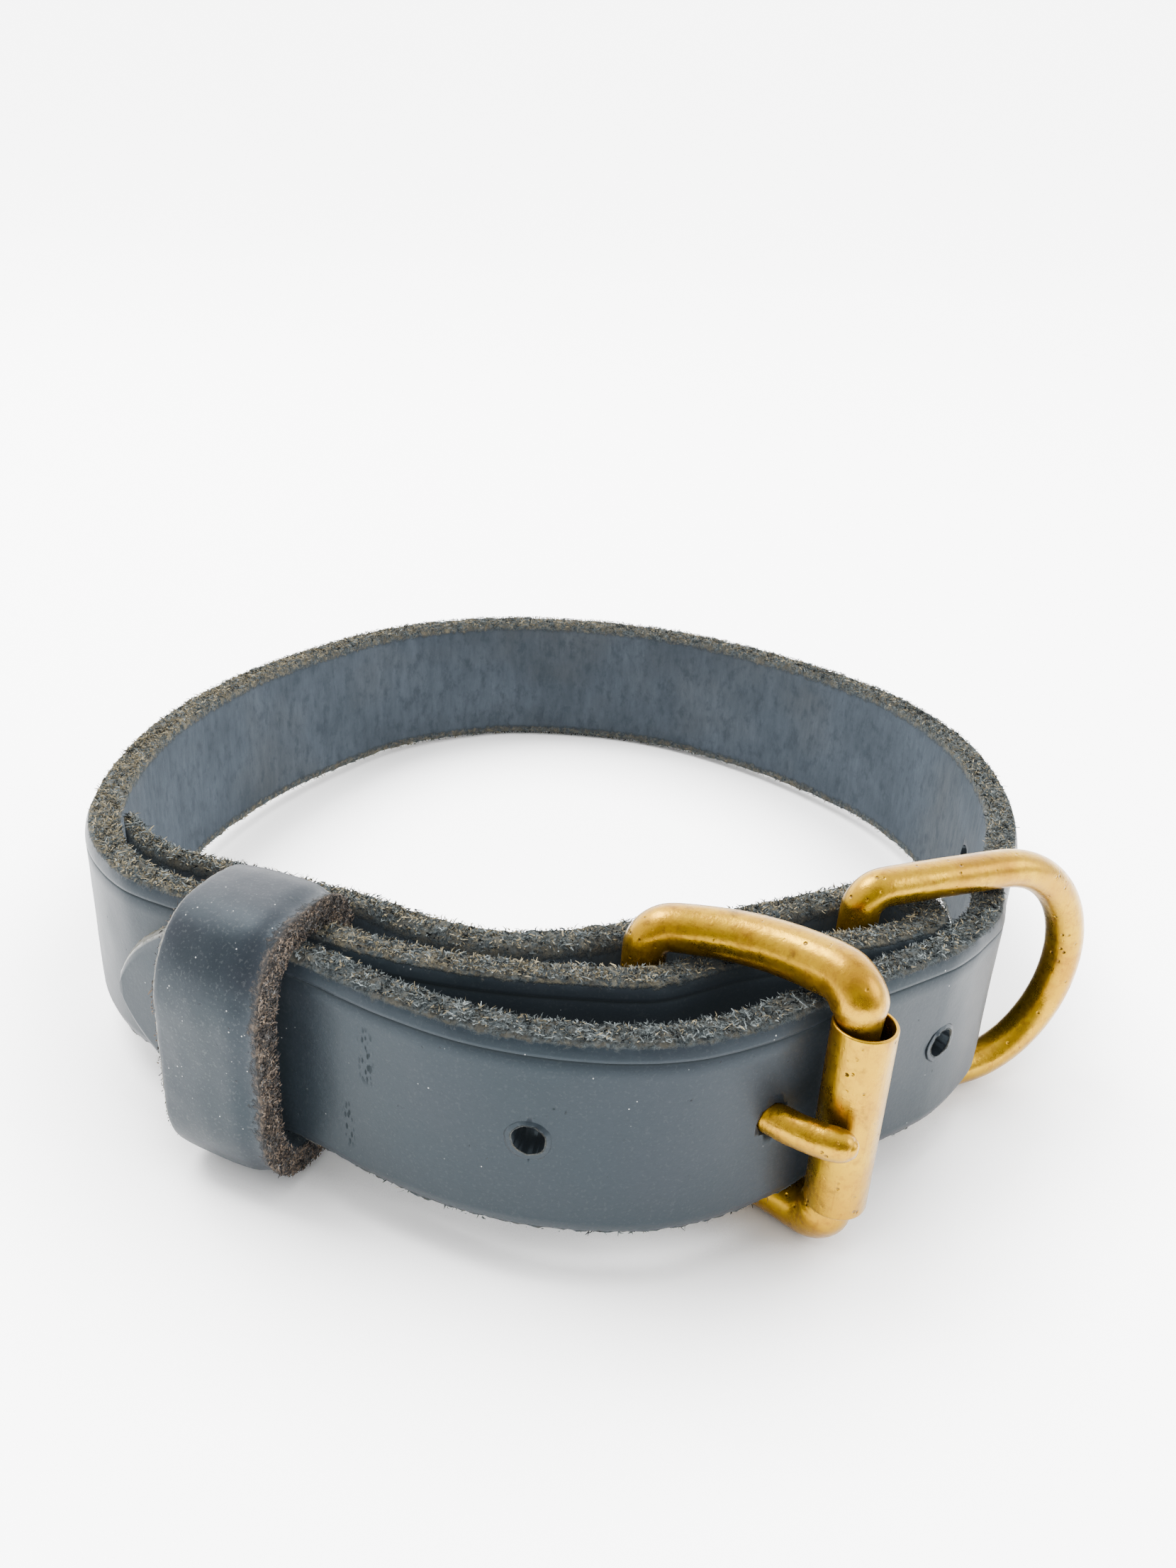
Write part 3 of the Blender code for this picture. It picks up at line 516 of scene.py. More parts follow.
def leather(name, felt_colours, purple, rareness, dusty):
    """Waxed grain, napped flesh side and fibrous raw edges, told apart by attributes.

    The felt colours are the raw edge's. The rest says how purple and how dusty
    the grain is, and how rare its white specks are.
    """
    n = Nodes(name)
    broken = n.maths("MULTIPLY", n.noise(1100.0, 5.0, 0.7), 0.9)
    raw = n.ramp(n.maths("ADD", n.attribute("raw"), broken), 0.62, 0.86)
    flesh = n.attribute("flesh")
    groove = n.attribute("groove")
    warm = n.attribute("warm")
    dark, grey, brown, ochre = felt_colours
    cloudy = n.noise(60.0, 5.0, 0.6)
    fine = n.noise(1300.0, 4.0, 0.65)
    grain = n.mix(n.ramp(cloudy, 0.35, 0.7), GRAIN_DARK, GRAIN_LIGHT)
    grain = n.mix(n.ramp(n.noise(35.0, 3.0), 0.42, 0.65, 0.0, purple), grain, GRAIN_PURPLE)
    grain = n.mix(n.ramp(fine, 0.35, 0.75, 0.0, 0.45), grain, GRAIN_DARK)
    sparse = n.ramp(n.noise(330.0, 2.0), rareness, rareness + 0.05)
    specks = n.maths("MULTIPLY", n.ramp(n.cells(1200.0), 0.12, 0.07), sparse)
    grain = n.mix(n.maths("MULTIPLY", specks, 0.7), grain, SPECK)
    grain = n.mix(n.ramp(n.noise(2600.0, 3.0, 0.6), 0.56, 0.66, 0.0, dusty), grain, SPECK)
    here_and_there = n.ramp(n.noise(90.0, 1.0), 0.55, 0.6)
    pinholes = n.maths("MULTIPLY", n.ramp(n.cells(310.0), 0.06, 0.03), here_and_there)
    grain = n.mix(pinholes, grain, FELT_DARK)
    cracks = crack_share(n)
    grain = n.mix(n.maths("MULTIPLY", cracks, 0.9), grain, FELT_DARK)
    nap = n.noise(700.0, 6.0, 0.7, n.stretched((1.0, 1.0, 0.25)))
    blotch = n.noise(45.0, 6.0, 0.65)
    back = n.mix(n.ramp(blotch, 0.25, 0.62, 0.25, 1.0), FLESH_DARK, FLESH_LIGHT)
    back = n.mix(n.ramp(n.noise(25.0, 3.0), 0.50, 0.72, 0.0, 0.55), back, FLESH_BROWN)
    back = n.mix(n.ramp(nap, 0.35, 0.7, 0.0, 0.5), back, FLESH_DARK)
    mottle = n.noise(520.0, 6.0, 0.72, n.stretched((1.0, 1.0, 0.6)))
    back = n.mix(n.ramp(mottle, 0.50, 0.64, 0.0, 0.55), back, FLESH_DARK)
    fibres = n.noise(1500.0, 8.0, 0.75, None, 1.2)
    felt = n.mix(n.ramp(fibres, 0.40, 0.62), dark, grey)
    felt = n.mix(n.ramp(n.noise(420.0, 6.0, 0.7), 0.46, 0.60, 0.0, 0.8), felt, brown)
    flecks = n.ramp(n.noise(900.0, 6.0, 0.75, None, 0.8), 0.48, 0.60)
    felt = n.mix(n.maths("MULTIPLY", flecks, warm), felt, ochre)
    base = n.mix(flesh, grain, back)
    base = n.mix(n.maths("MULTIPLY", groove, 0.95), base, FELT_DARK)
    base = n.mix(raw, base, felt)
    base = n.mix(n.attribute("pale"), base, PALE_EDGE)
    n.link(base, n.shader.inputs["Base Color"])
    dull = n.maths("MAXIMUM", raw, flesh)
    waxed = n.ramp(cloudy, 0.3, 0.75, 0.40, 0.54)
    opened = n.maths("MAXIMUM", n.maths("MAXIMUM", cracks, pinholes), groove)
    dull = n.maths("MAXIMUM", dull, opened)
    n.link(n.mix(dull, waxed, UNWAXED), n.shader.inputs["Roughness"])
    n.shader.inputs["Specular IOR Level"].default_value = LEATHER_SHINE
    n.shader.inputs["Specular Tint"].default_value = LEATHER_TINT
    # A faint painted glow in the wax's tint lifts the leather's shade, most in the dark gaps
    n.shader.inputs["Emission Color"].default_value = LEATHER_TINT
    n.shader.inputs["Emission Strength"].default_value = LEATHER_PAINTED_GLOW
    normal = n.bump(n.noise(1800.0, 5.0, 0.6), 0.04 * MM, 0.6)
    normal = n.bump(n.maths("MULTIPLY", cracks, -1.0), 0.08 * MM, 0.5, normal)
    normal = n.bump(n.maths("MULTIPLY", nap, flesh), 0.4 * MM, 0.6, normal)
    normal = n.bump(n.maths("MULTIPLY", fibres, raw), 0.9 * MM, 1.0, normal)
    n.link(normal, n.shader.inputs["Normal"])
    return n.material


def crack_share(n):
    """Short upright cracks in the grain, in rows across the strap."""
    along = n.attribute("along")
    up = n.attribute("up")
    dashes = n.ramp(n.cells(2300.0, n.stretched((1.0, 1.0, 0.4))), 0.46, 0.30)
    total = 0.0
    for from_tip, half_width, lowest, highest in CRACKS:
        off = n.maths("ABSOLUTE", n.maths("SUBTRACT", along, from_tip), 0.0)
        row = n.ramp(off, half_width, 0.2 * half_width)
        row = n.maths("MULTIPLY", row, n.ramp(up, lowest, lowest + CRACK_FADE))
        row = n.maths("MULTIPLY", row, n.ramp(up, highest, highest - CRACK_FADE))
        total = n.maths("MAXIMUM", row, total)
    return n.maths("MULTIPLY", dashes, total)


def fibre_material(name, dark, grey, brown, light):
    """Single fibres, each with its own colour."""
    n = Nodes(name)
    shade = n.attribute("shade")
    cold = n.mix(n.ramp(shade, 0.25, 0.95), dark, grey)
    tan = n.mix(n.ramp(shade, 0.15, 0.95), brown, light)
    n.link(n.mix(n.attribute("warm"), cold, tan), n.shader.inputs["Base Color"])
    n.shader.inputs["Roughness"].default_value = 0.9
    n.shader.inputs["Specular IOR Level"].default_value = 0.1
    return n.material


def brass(name, wear):
    """Worn brass: satin, scratched, pitted, brown in its hollows, and darker near other parts, partly grime
    and partly painted shade.
    """
    n = Nodes(name)
    cloudy = n.noise(120.0, 6.0, 0.65)
    pits = n.ramp(n.cells(750.0), 0.20, 0.08)
    pits = n.maths("MULTIPLY", pits, n.ramp(n.noise(260.0, 3.0), 0.50, 0.58))
    scratch = n.noise(500.0, 3.0, 0.5, n.stretched((6.0, 6.0, 0.4)))
    base = n.mix(n.ramp(cloudy, 0.35, 0.7), BRASS_BRIGHT, BRASS_DEEP)
    base = n.mix(n.ramp(n.noise(60.0, 5.0, 0.6), 0.52, 0.72, 0.0, 0.7 * wear), base, BRASS_BROWN)
    base = n.mix(n.ramp(n.noise(330.0, 7.0, 0.72), 0.57, 0.70, 0.0, 0.8 * wear), base, BRASS_GRIME_AND_SHADE)
    base = n.mix(n.ramp(scratch, 0.60, 0.72, 0.0, 0.4 * wear), base, BRASS_BROWN)
    base = n.mix(n.ramp(n.noise(1000.0, 6.0, 0.7), 0.50, 0.66, 0.0, 0.6 * wear), base, BRASS_BROWN)
    base = n.mix(n.maths("MULTIPLY", pits, 0.85), base, BRASS_GRIME_AND_SHADE)
    # Painted shade, partly grime: the brass darkens where another surface is near, in gaps and against the
    # leather
    sheltered = n.add("ShaderNodeAmbientOcclusion", samples=8)
    sheltered.inputs["Distance"].default_value = SHADE_AND_GRIME_REACH
    base = n.mix(n.ramp(sheltered.outputs["AO"], 0.7, 0.2, 0.0, 0.6), base, BRASS_GRIME_AND_SHADE)
    n.link(base, n.shader.inputs["Base Color"])
    n.shader.inputs["Metallic"].default_value = BRASS_METAL
    satin = n.ramp(n.noise(400.0, 6.0, 0.7), 0.3, 0.75, 0.20, 0.44)
    n.link(satin, n.shader.inputs["Roughness"])
    normal = n.bump(n.noise(350.0, 5.0, 0.6), 0.14 * MM, 0.6)
    normal = n.bump(scratch, 0.04 * MM, 0.5, normal)
    normal = n.bump(pits, -0.18 * MM, 0.8, normal)
    n.link(normal, n.shader.inputs["Normal"])
    return n.material


def floor_material():
    """White and glowing, less so near the collar, which paints its soft shadow there."""
    n = Nodes("floor")
    n.shader.inputs["Base Color"].default_value = colour(0.93, 0.93, 0.93)
    n.shader.inputs["Roughness"].default_value = 0.8
    n.shader.inputs["Specular IOR Level"].default_value = 0.2
    n.shader.inputs["Emission Color"].default_value = WHITE
    # Painted shadow: the floor's glow fades where the collar is within reach
    shadow = n.add("ShaderNodeAmbientOcclusion", samples=8)
    shadow.inputs["Distance"].default_value = SHADOW_REACH
    glow = n.ramp(shadow.outputs["AO"], 0.50, 1.0, 0.0, FLOOR_GLOW)
    n.link(glow, n.shader.inputs["Emission Strength"])
    return n.material


# The strap


def strap_section(thickness, half_width, cut):
    """The strap's section, round from the grain side: rows of out, up, raw, flesh, groove.

    The crease line is there in full where cut is 1. The lower half mirrors the
    upper one without it.
    """
    grain = thickness / 2
    flesh = -thickness / 2
    top = half_width
    bevel = min(EDGE_SHARE * thickness, EDGE_MOST)
    crease = max(top - CREASE_DROP, 0.2 * top)
    edge = top - EDGE_IN if top > NARROW else 0.9 * top
    drop = EDGE_DROP * min(1, top / NARROW)
    upper = []
    for share in np.linspace(0, 1, 7)[:-1]:
        upper.append((grain, share * (crease - CREASE_WIDTH), 0, 0, 0))
    upper.append((grain, crease - CREASE_WIDTH, 0, 0, 0))
    upper.append((grain - CREASE_DEPTH * cut, crease, 0, 0, cut))
    upper.append((grain + 0.02 * MM, crease + CREASE_WIDTH, 0, 0, 0))
    for share in (0.35, 0.7):
        upper.append((grain - 0.35 * bevel * share**2, crease + share * (edge - crease), 0, 0, 0))
    for share in (0.0, 0.5, 1.0):
        angle = share * pi / 2
        out = grain - bevel * (0.35 + 0.65 * (1 - cos(angle)))
        upper.append((out, edge + (top - edge) * sin(angle), 0.15 + 0.85 * share, 0, 0))
    inner = grain - bevel
    for share in (0.2, 0.4, 0.6, 0.8):
        upper.append((inner + share * (flesh + 0.25 * thickness - inner), top, 1, 0, 0))
    for share in (0.0, 0.5, 1.0):
        angle = share * pi / 2
        out = flesh + 0.25 * thickness * (1 - sin(angle))
        upper.append((out, top - drop * (1 - cos(angle)), 1 - 0.5 * share, 0.5 * share, 0))
    for share in (0.82, 0.55, 0.28, 0.0):
        upper.append((flesh, share * top, 0, 1, 0))
    lower = []
    for out, up, raw, back, dent in upper[-2:0:-1]:
        lower.append((min(out + CREASE_DEPTH * dent, grain), -up, raw, back, 0))
    return np.array(upper + lower)


def warmth(share):
    """How tan the raw edge is at a share of the strap's length."""
    table = np.array(WARMTH)
    return np.interp(share, table[:, 0], table[:, 1])


def make_strap(line, thickness, heights, travelled, material):
    """The whole strap as one skin, denser than the solid, with uneven raw edges."""
    bottom, top = heights
    middle = (top + bottom) / 2
    left = sides(line)
    length = travelled[-1]
    worn = length - TIP_WEAR
    places = []
    masks = {name: [] for name in ("raw", "flesh", "groove", "warm", "pale", "along", "up")}
    for index, point in enumerate(line[travelled < worn]):
        remaining = worn - travelled[index]
        share = min(max(remaining, 0.05 * MM) / (TIP_TAPER - TIP_WEAR), 1.0)
        half_width = (top - bottom) / 2 * share**TIP_POWER
        cut = float(np.interp(remaining, (0.6 * CREASE_ENDS, CREASE_ENDS), (0, 1)))
        section = strap_section(thickness[index], half_width, cut)
        ring = np.empty((len(section), 3))
        ring[:, :2] = point + section[:, :1] * left[index]
        ring[:, 2] = middle + section[:, 1]
        for column, row in enumerate(section):
            here = Vector(ring[column])
            if row[2] > 0:
                lift = row[2] * FUZZ_HEIGHT * (rough(here, 0.9 * MM) + 0.7 * rough(here, 3.5 * MM, 2))
                ring[column, 2] += lift * (1 if row[1] > 0 else -1)
                ring[column, :2] += 0.4 * lift * left[index]
            else:
                ring[column, :2] += 0.06 * MM * rough(here, 7 * MM, 2) * left[index]
        places.append(ring)
        masks["raw"].append(section[:, 2])
        masks["flesh"].append(section[:, 3])
        masks["groove"].append(section[:, 4])
        masks["warm"].append(np.full(len(section), warmth(travelled[index] / length)))
        rim = (section[:, 2] > 0.1) & (section[:, 2] < 0.7) & (section[:, 0] > 0)
        masks["pale"].append(rim * max(0.0, 1.0 - remaining / (2 * TIP_TAPER)))
        masks["along"].append(np.full(len(section), remaining + TIP_WEAR))
        masks["up"].append(section[:, 1])
    attributes = {name: np.array(values) for name, values in masks.items()}
    data = grid_mesh("strap_skin", np.array(places), attributes, cyclic=False, capped=True)
    data.materials.append(material)
    return place("strap_skin", data, "collar", ["strap"], "strap")


def hole_place(number, line, travelled):
    """The index on the strap's line of a punched hole, counted from the prong's."""
    return int(np.searchsorted(travelled, travelled[-1] - TIP_REACH + number * HOLE_PITCH))


def punch_holes(item, line, thickness, heights, travelled):
    """Cuts the open holes and the prong's room out of the strap's skin."""
    left = sides(line)
    middle = sum(heights) / 2
    shape = bmesh.new()
    for number in OPEN_HOLES:
        index = hole_place(number, line, travelled)
        centre = Vector((*line[index], middle))
        turn = Vector((*left[index], 0)).to_track_quat("Z", "Y").to_matrix().to_4x4()
        made = bmesh.ops.create_cone(
            shape,
            cap_ends=True,
            segments=36,
            radius1=HOLE_RADIUS,
            radius2=HOLE_RADIUS,
            depth=thickness[index] + PUNCH_SPARE,
            matrix=Matrix.Translation(centre) @ turn,
        )
        for vertex in made["verts"]:
            away = vertex.co - centre
            vertex.co = centre + away * (1 + 0.05 * rough(away + Vector((number, 0, 0)), 1.5 * MM, 2))
    prong = level_mesh("prong")
    for vertex in prong.verts:
        vertex.co += PRONG_ROOM * vertex.normal
    data = bpy.data.meshes.new("prong_room")
    prong.to_mesh(data)
    prong.free()
    shape.from_mesh(data)
    bmesh.ops.recalc_face_normals(shape, faces=shape.faces)
    cutting = bpy.data.meshes.new("punches")
    shape.to_mesh(cutting)
    shape.free()
    cutting.materials.clear()
    cutting.materials.append(item.data.materials[0])
    for name, value in (("raw", 0.0), ("flesh", 0.0), ("groove", 1.0)):
        layer = cutting.attributes.new(name, "FLOAT", "POINT")
        layer.data.foreach_set("value", np.full(len(cutting.vertices), value))
    cutter = bpy.data.objects.new("punches", cutting)
    bpy.context.scene.collection.objects.link(cutter)
    cutter.matrix_world = item.matrix_world
    cut = item.modifiers.new("cut", "BOOLEAN")
    cut.object = cutter
    cut.solver = "EXACT"
    bpy.context.view_layer.update()
    evaluated = item.evaluated_get(bpy.context.evaluated_depsgraph_get())
    result = bpy.data.meshes.new_from_object(evaluated)
    item.modifiers.clear()
    item.data = result
    result.set_sharp_from_angle(angle=radians(55))
    bpy.data.objects.remove(cutter)


def make_lips(line, thickness, heights, travelled, material):
    """A raised, torn lip round each open hole on the grain side."""
    left = sides(line)
    middle = sum(heights) / 2
    for number in OPEN_HOLES:
        index = hole_place(number, line, travelled)
        out = Vector((*left[index], 0))
        across = Vector((-out.y, out.x, 0))
        face = Vector((*line[index], middle)) + float(thickness[index]) / 2 * out
        rows = []
        for step in range(LIP_STEPS):
            angle = 2 * pi * step / LIP_STEPS
            ray = cos(angle) * across + sin(angle) * Vector((0, 0, 1))
            seed = face + 2 * MM * ray
            radius = HOLE_RADIUS * (1 + 0.06 * rough(seed, 1.4 * MM, 2)) - 0.12 * MM
            lift = LIP_LIFT * (0.35 + 0.8 * rough(seed, 1.3 * MM, 3) + 0.55 * sin(angle + pi / 5))
            lift = max(lift, 0.03 * MM)
            rows.append([face + (radius + far * MM) * ray + high * lift * out for far, high in LIP])
        places = np.array(rows)
        zero = np.zeros(places.shape[:2])
        torn = np.tile(LIP_TORN, (LIP_STEPS, 1))
        attributes = {"raw": torn, "flesh": zero, "groove": zero, "warm": zero + 0.2, "pale": 0.25 * torn}
        attributes["along"] = zero + NO_CRACKS
        data = grid_mesh(f"hole_lip_{number}", places, attributes, cyclic=True, capped=False)
        data.materials.append(material)
        place(f"hole_lip_{number}", data, "collar", slot="strap")


# Loose fibres


def make_slivers(name, roots, away, shade, warm, random, material, body, slot, standing=0.9, size=1.0):
    """Bent slivers standing off a raw face, as one mesh."""
    count = len(roots)
    flat = np.cross(random.normal(size=(count, 3)), away)
    flat /= np.linalg.norm(flat, axis=1)[:, None]
    curl = np.cross(random.normal(size=(count, 3)), away)
    curl /= np.linalg.norm(curl, axis=1)[:, None]
    rise = random.uniform(0, standing, count)[:, None] ** 2
    lengths = size * random.uniform(*FIBRE_LENGTH, count)[:, None]
    lie = flat * (1 - rise) + away * (0.2 + rise)
    lie /= np.linalg.norm(lie, axis=1)[:, None]
    bend = 1.3 * curl - 0.35 * away
    across = np.cross(lie, random.normal(size=(count, 3)))
    across *= random.uniform(*FIBRE_WIDTH, count)[:, None] / 2 / np.linalg.norm(across, axis=1)[:, None]
    rows = []
    for t, taper in FIBRE_ROWS:
        spot = roots + lengths * (t * lie + 0.5 * t * t * bend)
        rows += [spot - taper * across, spot + taper * across]
    places = np.stack(rows, axis=1).reshape(-1, 3)
    first = np.arange(count) * len(rows)
    quads = [np.stack([first, first + 1, first + 3, first + 2], axis=1)]
    quads.append(quads[0] + 2)
    data = bpy.data.meshes.new(name)
    data.from_pydata(places.tolist(), [], np.vstack(quads).tolist())
    for attribute, values in (("shade", shade), ("warm", warm)):
        layer = data.attributes.new(attribute, "FLOAT", "POINT")
        layer.data.foreach_set("value", np.repeat(values, len(rows)).astype(np.float32))
    data.materials.append(material)
    return place(name, data, body, slot=slot)


def clumps(places, scale):
    """Noise between about 0 and 1 at each of some places."""
    return np.array([0.5 + 0.6 * noise.noise(Vector(spot) / scale) for spot in places.tolist()])


def make_strap_fibres(line, thickness, heights, travelled, material):
    """Crumbs and fibres on both raw edges of the strap, with a few longer tufts."""
    random = np.random.default_rng(SEED)
    bottom, top = heights
    left = sides(line)
    length = travelled[-1]
    count = int(length / MM * FIBRES_PER_MM)
    where = random.random(count) * (length - TIP_TAPER)
    tufts = random.random(TUFTS) * (length - 2 * TIP_TAPER)
    members = random.integers(0, TUFTS, FIBRES_PER_TUFT * TUFTS)
    spread = random.normal(size=len(members)) * TUFT_SPREAD
    where = np.concatenate([where, tufts[members] + spread])
    where = np.clip(where, 0.5 * MM, length - TIP_TAPER)
    sway = random.uniform(-0.5, 0.34, TUFTS)
    share = np.concatenate([random.uniform(-0.5, 0.32, count), sway[members]])
    upper = np.concatenate([random.random(count) < TOP_SHARE, np.ones(len(members), bool)])
    index = np.clip(np.searchsorted(travelled, where), 0, len(line) - 1)
    roots = np.empty((len(where), 3))
    roots[:, :2] = line[index] + (share * thickness[index])[:, None] * left[index]
    droop = 0.8 * MM * np.clip((-share - 0.3) / 0.2, 0, None) ** 2
    roots[:, 2] = np.where(upper, top - droop, bottom + droop)
    lumps = clumps(roots, 0.8 * MM)
    roots[:, 2] += np.where(upper, 1, -1) * 0.22 * MM * lumps
    away = np.zeros_like(roots)
    away[:, 2] = np.where(upper, 1.0, -1.0)
    away[count:, :2] += 0.5 * random.normal(size=(len(members), 2))
    shade = np.clip(0.75 * lumps + 0.45 * random.random(len(where)) - 0.15, 0, 1)
    wet = clumps(roots, 4 * MM)
    warm = (random.random(len(where)) < warmth(where / length) * (0.35 + 0.9 * wet)).astype(float)
    return make_slivers("edge_fibres", roots, away, shade, warm, random, material, "collar", "strap")


# The keeper


def keeper_outline(line):
    """The keeper's soft outline, out and up, with its middle, its direction and its size."""
    shape = level_mesh("keeper")
    places = np.array([vertex.co for vertex in shape.verts])
    middle = (places.min(axis=0) + places.max(axis=0)) / 2
    nearest = np.argmin(np.hypot(*(line - middle[:2]).T))
    guess = line[nearest + 1] - line[nearest - 1]
    guess *= np.sign(guess[0]) / np.hypot(*guess)
    along = np.zeros(2)
    for face in shape.faces:
        facing = np.array(face.normal[:2])
        if facing @ guess > 0.9:
            along += face.calc_area() * facing
    along /= np.hypot(*along)
    out = np.array([along[1], -along[0]])
    run = (places[:, :2] - middle[:2]) @ along
    middle[:2] += (run.min() + run.max()) / 2 * along
    half = (run.max() - run.min()) / 2
    rim = {}
    for edge in shape.edges:
        facing = sorted(np.array(face.normal[:2]) @ along for face in edge.link_faces)
        if facing[0] < 0.5 and facing[-1] > 0.9:
            for here, there in (edge.verts, reversed(edge.verts)):
                rim.setdefault(here, []).append(there)
    outlines = []
    while rim:
        cycle = [next(iter(rim))]
        while True:
            onward = [vertex for vertex in rim.pop(cycle[-1]) if vertex in rim]
            if not onward:
                break
            cycle.append(onward[0])
        points = np.array([vertex.co for vertex in cycle])
        outlines.append(np.stack([(points[:, :2] - middle[:2]) @ out, points[:, 2]], axis=1))
    shape.free()
    lengths = [np.hypot(*(np.roll(outline, -1, axis=0) - outline).T).sum() for outline in outlines]
    outer = outlines[int(np.argmax(lengths))]
    closed = np.vstack([outer, outer[:1]])
    travelled = np.concatenate([[0.0], np.cumsum(np.hypot(*np.diff(closed, axis=0).T))])
    count = int(travelled[-1] / KEEPER_STEP)
    even = np.linspace(0, travelled[-1], count, endpoint=False)
    soft = np.stack([np.interp(even, travelled, closed[:, axis]) for axis in (0, 1)], axis=1)
    reach = np.arange(count) - count // 2
    weights = np.exp(-0.5 * (reach * KEEPER_STEP / KEEPER_SOFTNESS) ** 2)
    weights = np.fft.fft(np.roll(weights / weights.sum(), -(count // 2)))
    soft = np.real(np.fft.ifft(np.fft.fft(soft, axis=0) * weights[:, None], axis=0))
    return soft, middle, along, out, half


def keeper_section(half, wall):
    """Rows round the band's section: along, out from the surface, raw, flesh, hollow, pale."""
    rows = []
    for run in np.linspace(-half + KEEPER_RIM, half - KEEPER_RIM, 25):
        dome = KEEPER_DOME * (1 - (run / half) ** 2)
        dent = np.exp(-(((run - half + KEEPER_HOLLOW_AT) / KEEPER_HOLLOW_WIDTH) ** 2))
        frayed = max(0.0, 1 - (half - run) / KEEPER_FRAY)
        rows.append((run, dome - KEEPER_HOLLOW * dent, 0.45 * frayed, 0, 0, 0))
    for share in (0.4, 0.8):
        angle = share * pi / 2
        rows.append((half - KEEPER_RIM * (1 - sin(angle)), -KEEPER_RIM * (1 - cos(angle)), share, 0, 0, 0))
    for share in np.linspace(0, 1, 8):
        rows.append((half, -KEEPER_RIM - share * (wall - 2 * KEEPER_RIM), 1, 0, 0, 0))
    for run in np.linspace(half - KEEPER_RIM, -half + KEEPER_RIM, 6):
        rows.append((run, -wall, 0, 1, 0, 0))
    for share in np.linspace(0, 1, 5):
        rows.append((-half, -wall + KEEPER_RIM + share * (wall - 2 * KEEPER_RIM), 1, 0, 0, 0))
    for share in (0.3, 0.7):
        angle = share * pi / 2
        rows.append((-half + KEEPER_RIM * (1 - cos(angle)), -KEEPER_RIM * (1 - sin(angle)), 0.3, 0, 0, 1))
    return np.array(rows)


def make_keeper(line, material, loose):
    """The keeper: a soft waxed band with a thick raw end towards the buckle."""
    soft, middle, along, out, half = keeper_outline(line)
    wall = KEEPER_WALL
    normals = sides(soft, cyclic=True)
    if ((soft - soft.mean(axis=0)) * normals).sum() < 0:
        normals = -normals
    section = keeper_section(half, wall)
    rows = []
    for point, normal in zip(soft, normals):
        ring = np.empty((len(section), 3))
        spot = point + section[:, 1:2] * normal
        ring[:, :2] = middle[:2] + section[:, :1] * along + spot[:, :1] * out
        ring[:, 2] = spot[:, 1]
        facing = np.array([*(normal[0] * out), normal[1]])
        for column, row in enumerate(section):
            here = Vector(ring[column])
            if row[2] > 0:
                lift = row[2] * 0.8 * FUZZ_HEIGHT * (rough(here, 0.8 * MM) + 0.5 * rough(here, 3 * MM, 2))
                ring[column, :2] += np.sign(row[0]) * lift * along
                ring[column] += 0.5 * lift * facing
            if row[3] == 0:
                ring[column] += 0.09 * MM * rough(here, 5 * MM, 2) * facing
        rows.append(ring)
    places = np.array(rows)
    attributes = {}
    for name, column in (("raw", 2), ("flesh", 3), ("groove", 4), ("pale", 5)):
        attributes[name] = np.tile(section[:, column], (len(soft), 1))
    attributes["warm"] = np.full(places.shape[:2], 0.6)
    attributes["along"] = np.full(places.shape[:2], NO_CRACKS)
    data = grid_mesh("keeper_band", places, attributes, cyclic=True, capped=False)
    data.materials.append(material)
    place("keeper_band", data, "collar", ["keeper"], "keeper")
    random = np.random.default_rng(SEED + 1)
    right = random.random(KEEPER_FIBRES) < 0.85
    around = random.integers(0, len(soft), KEEPER_FIBRES)
    depth = random.uniform(0.1 * MM, wall, KEEPER_FIBRES)
    spot = soft[around] - depth[:, None] * normals[around]
    facing = np.where(right, 1.0, -1.0)[:, None]
    roots = np.empty((KEEPER_FIBRES, 3))
    roots[:, :2] = middle[:2] + facing * half * along + spot[:, :1] * out
    roots[:, 2] = spot[:, 1]
    away = np.concatenate([facing * along, np.zeros((KEEPER_FIBRES, 1))], axis=1)
    lumps = clumps(roots, 0.7 * MM)
    roots += 0.2 * MM * lumps[:, None] * away
    shade = np.clip(0.75 * lumps + 0.45 * random.random(KEEPER_FIBRES) - 0.15, 0, 1)
    warm = (random.random(KEEPER_FIBRES) < 0.9 * clumps(roots, 2.5 * MM)).astype(float)
    standing, size = KEEPER_FIBRE_STANDING, KEEPER_FIBRE_SIZE
    make_slivers("keeper_fibres", roots, away, shade, warm, random, loose, "collar", "keeper", standing, size)


# Brass


def turned_tube(name, profile, centre, steps=72):
    """A profile of radius and height turned round a level vertical axis."""
    places = []
    for step in range(steps):
        angle = 2 * pi * step / steps
        places.append([(centre[0] + r * cos(angle), centre[1] + r * sin(angle), z) for r, z in profile])
    return grid_mesh(name, np.array(places), {}, cyclic=True, capped=False)


def make_roller(material):
    """A thin rolled tube with rims that turn in a little."""
    low, high = level_box("roller")
    centre = (low + high) / 2
    radius = (high[0] - low[0]) / 2
    wall = ROLLER_WALL
    half = (high[2] - low[2]) / 2
    outer = []
    for share in np.linspace(-1, 1, 25):
        outer.append((radius, centre[2] + share * (half - ROLLER_END)))
    for angle in np.linspace(0, pi, 7):
        r = radius - wall / 2 + wall / 2 * cos(angle)
        outer.append((r, centre[2] + half - wall / 2 + wall / 2 * sin(angle)))
    inner = []
    for share in np.linspace(1, -1, 9):
        inner.append((radius - wall, centre[2] + share * (half - ROLLER_END)))
    for angle in np.linspace(pi, 2 * pi, 7):
        r = radius - wall / 2 + wall / 2 * cos(angle)
        inner.append((r, centre[2] - half + wall / 2 + wall / 2 * sin(angle)))
    data = turned_tube("roller_tube", outer + inner, centre)
    data.materials.append(material)
    return place("roller_tube", data, "roller", ["roller"], "roller")


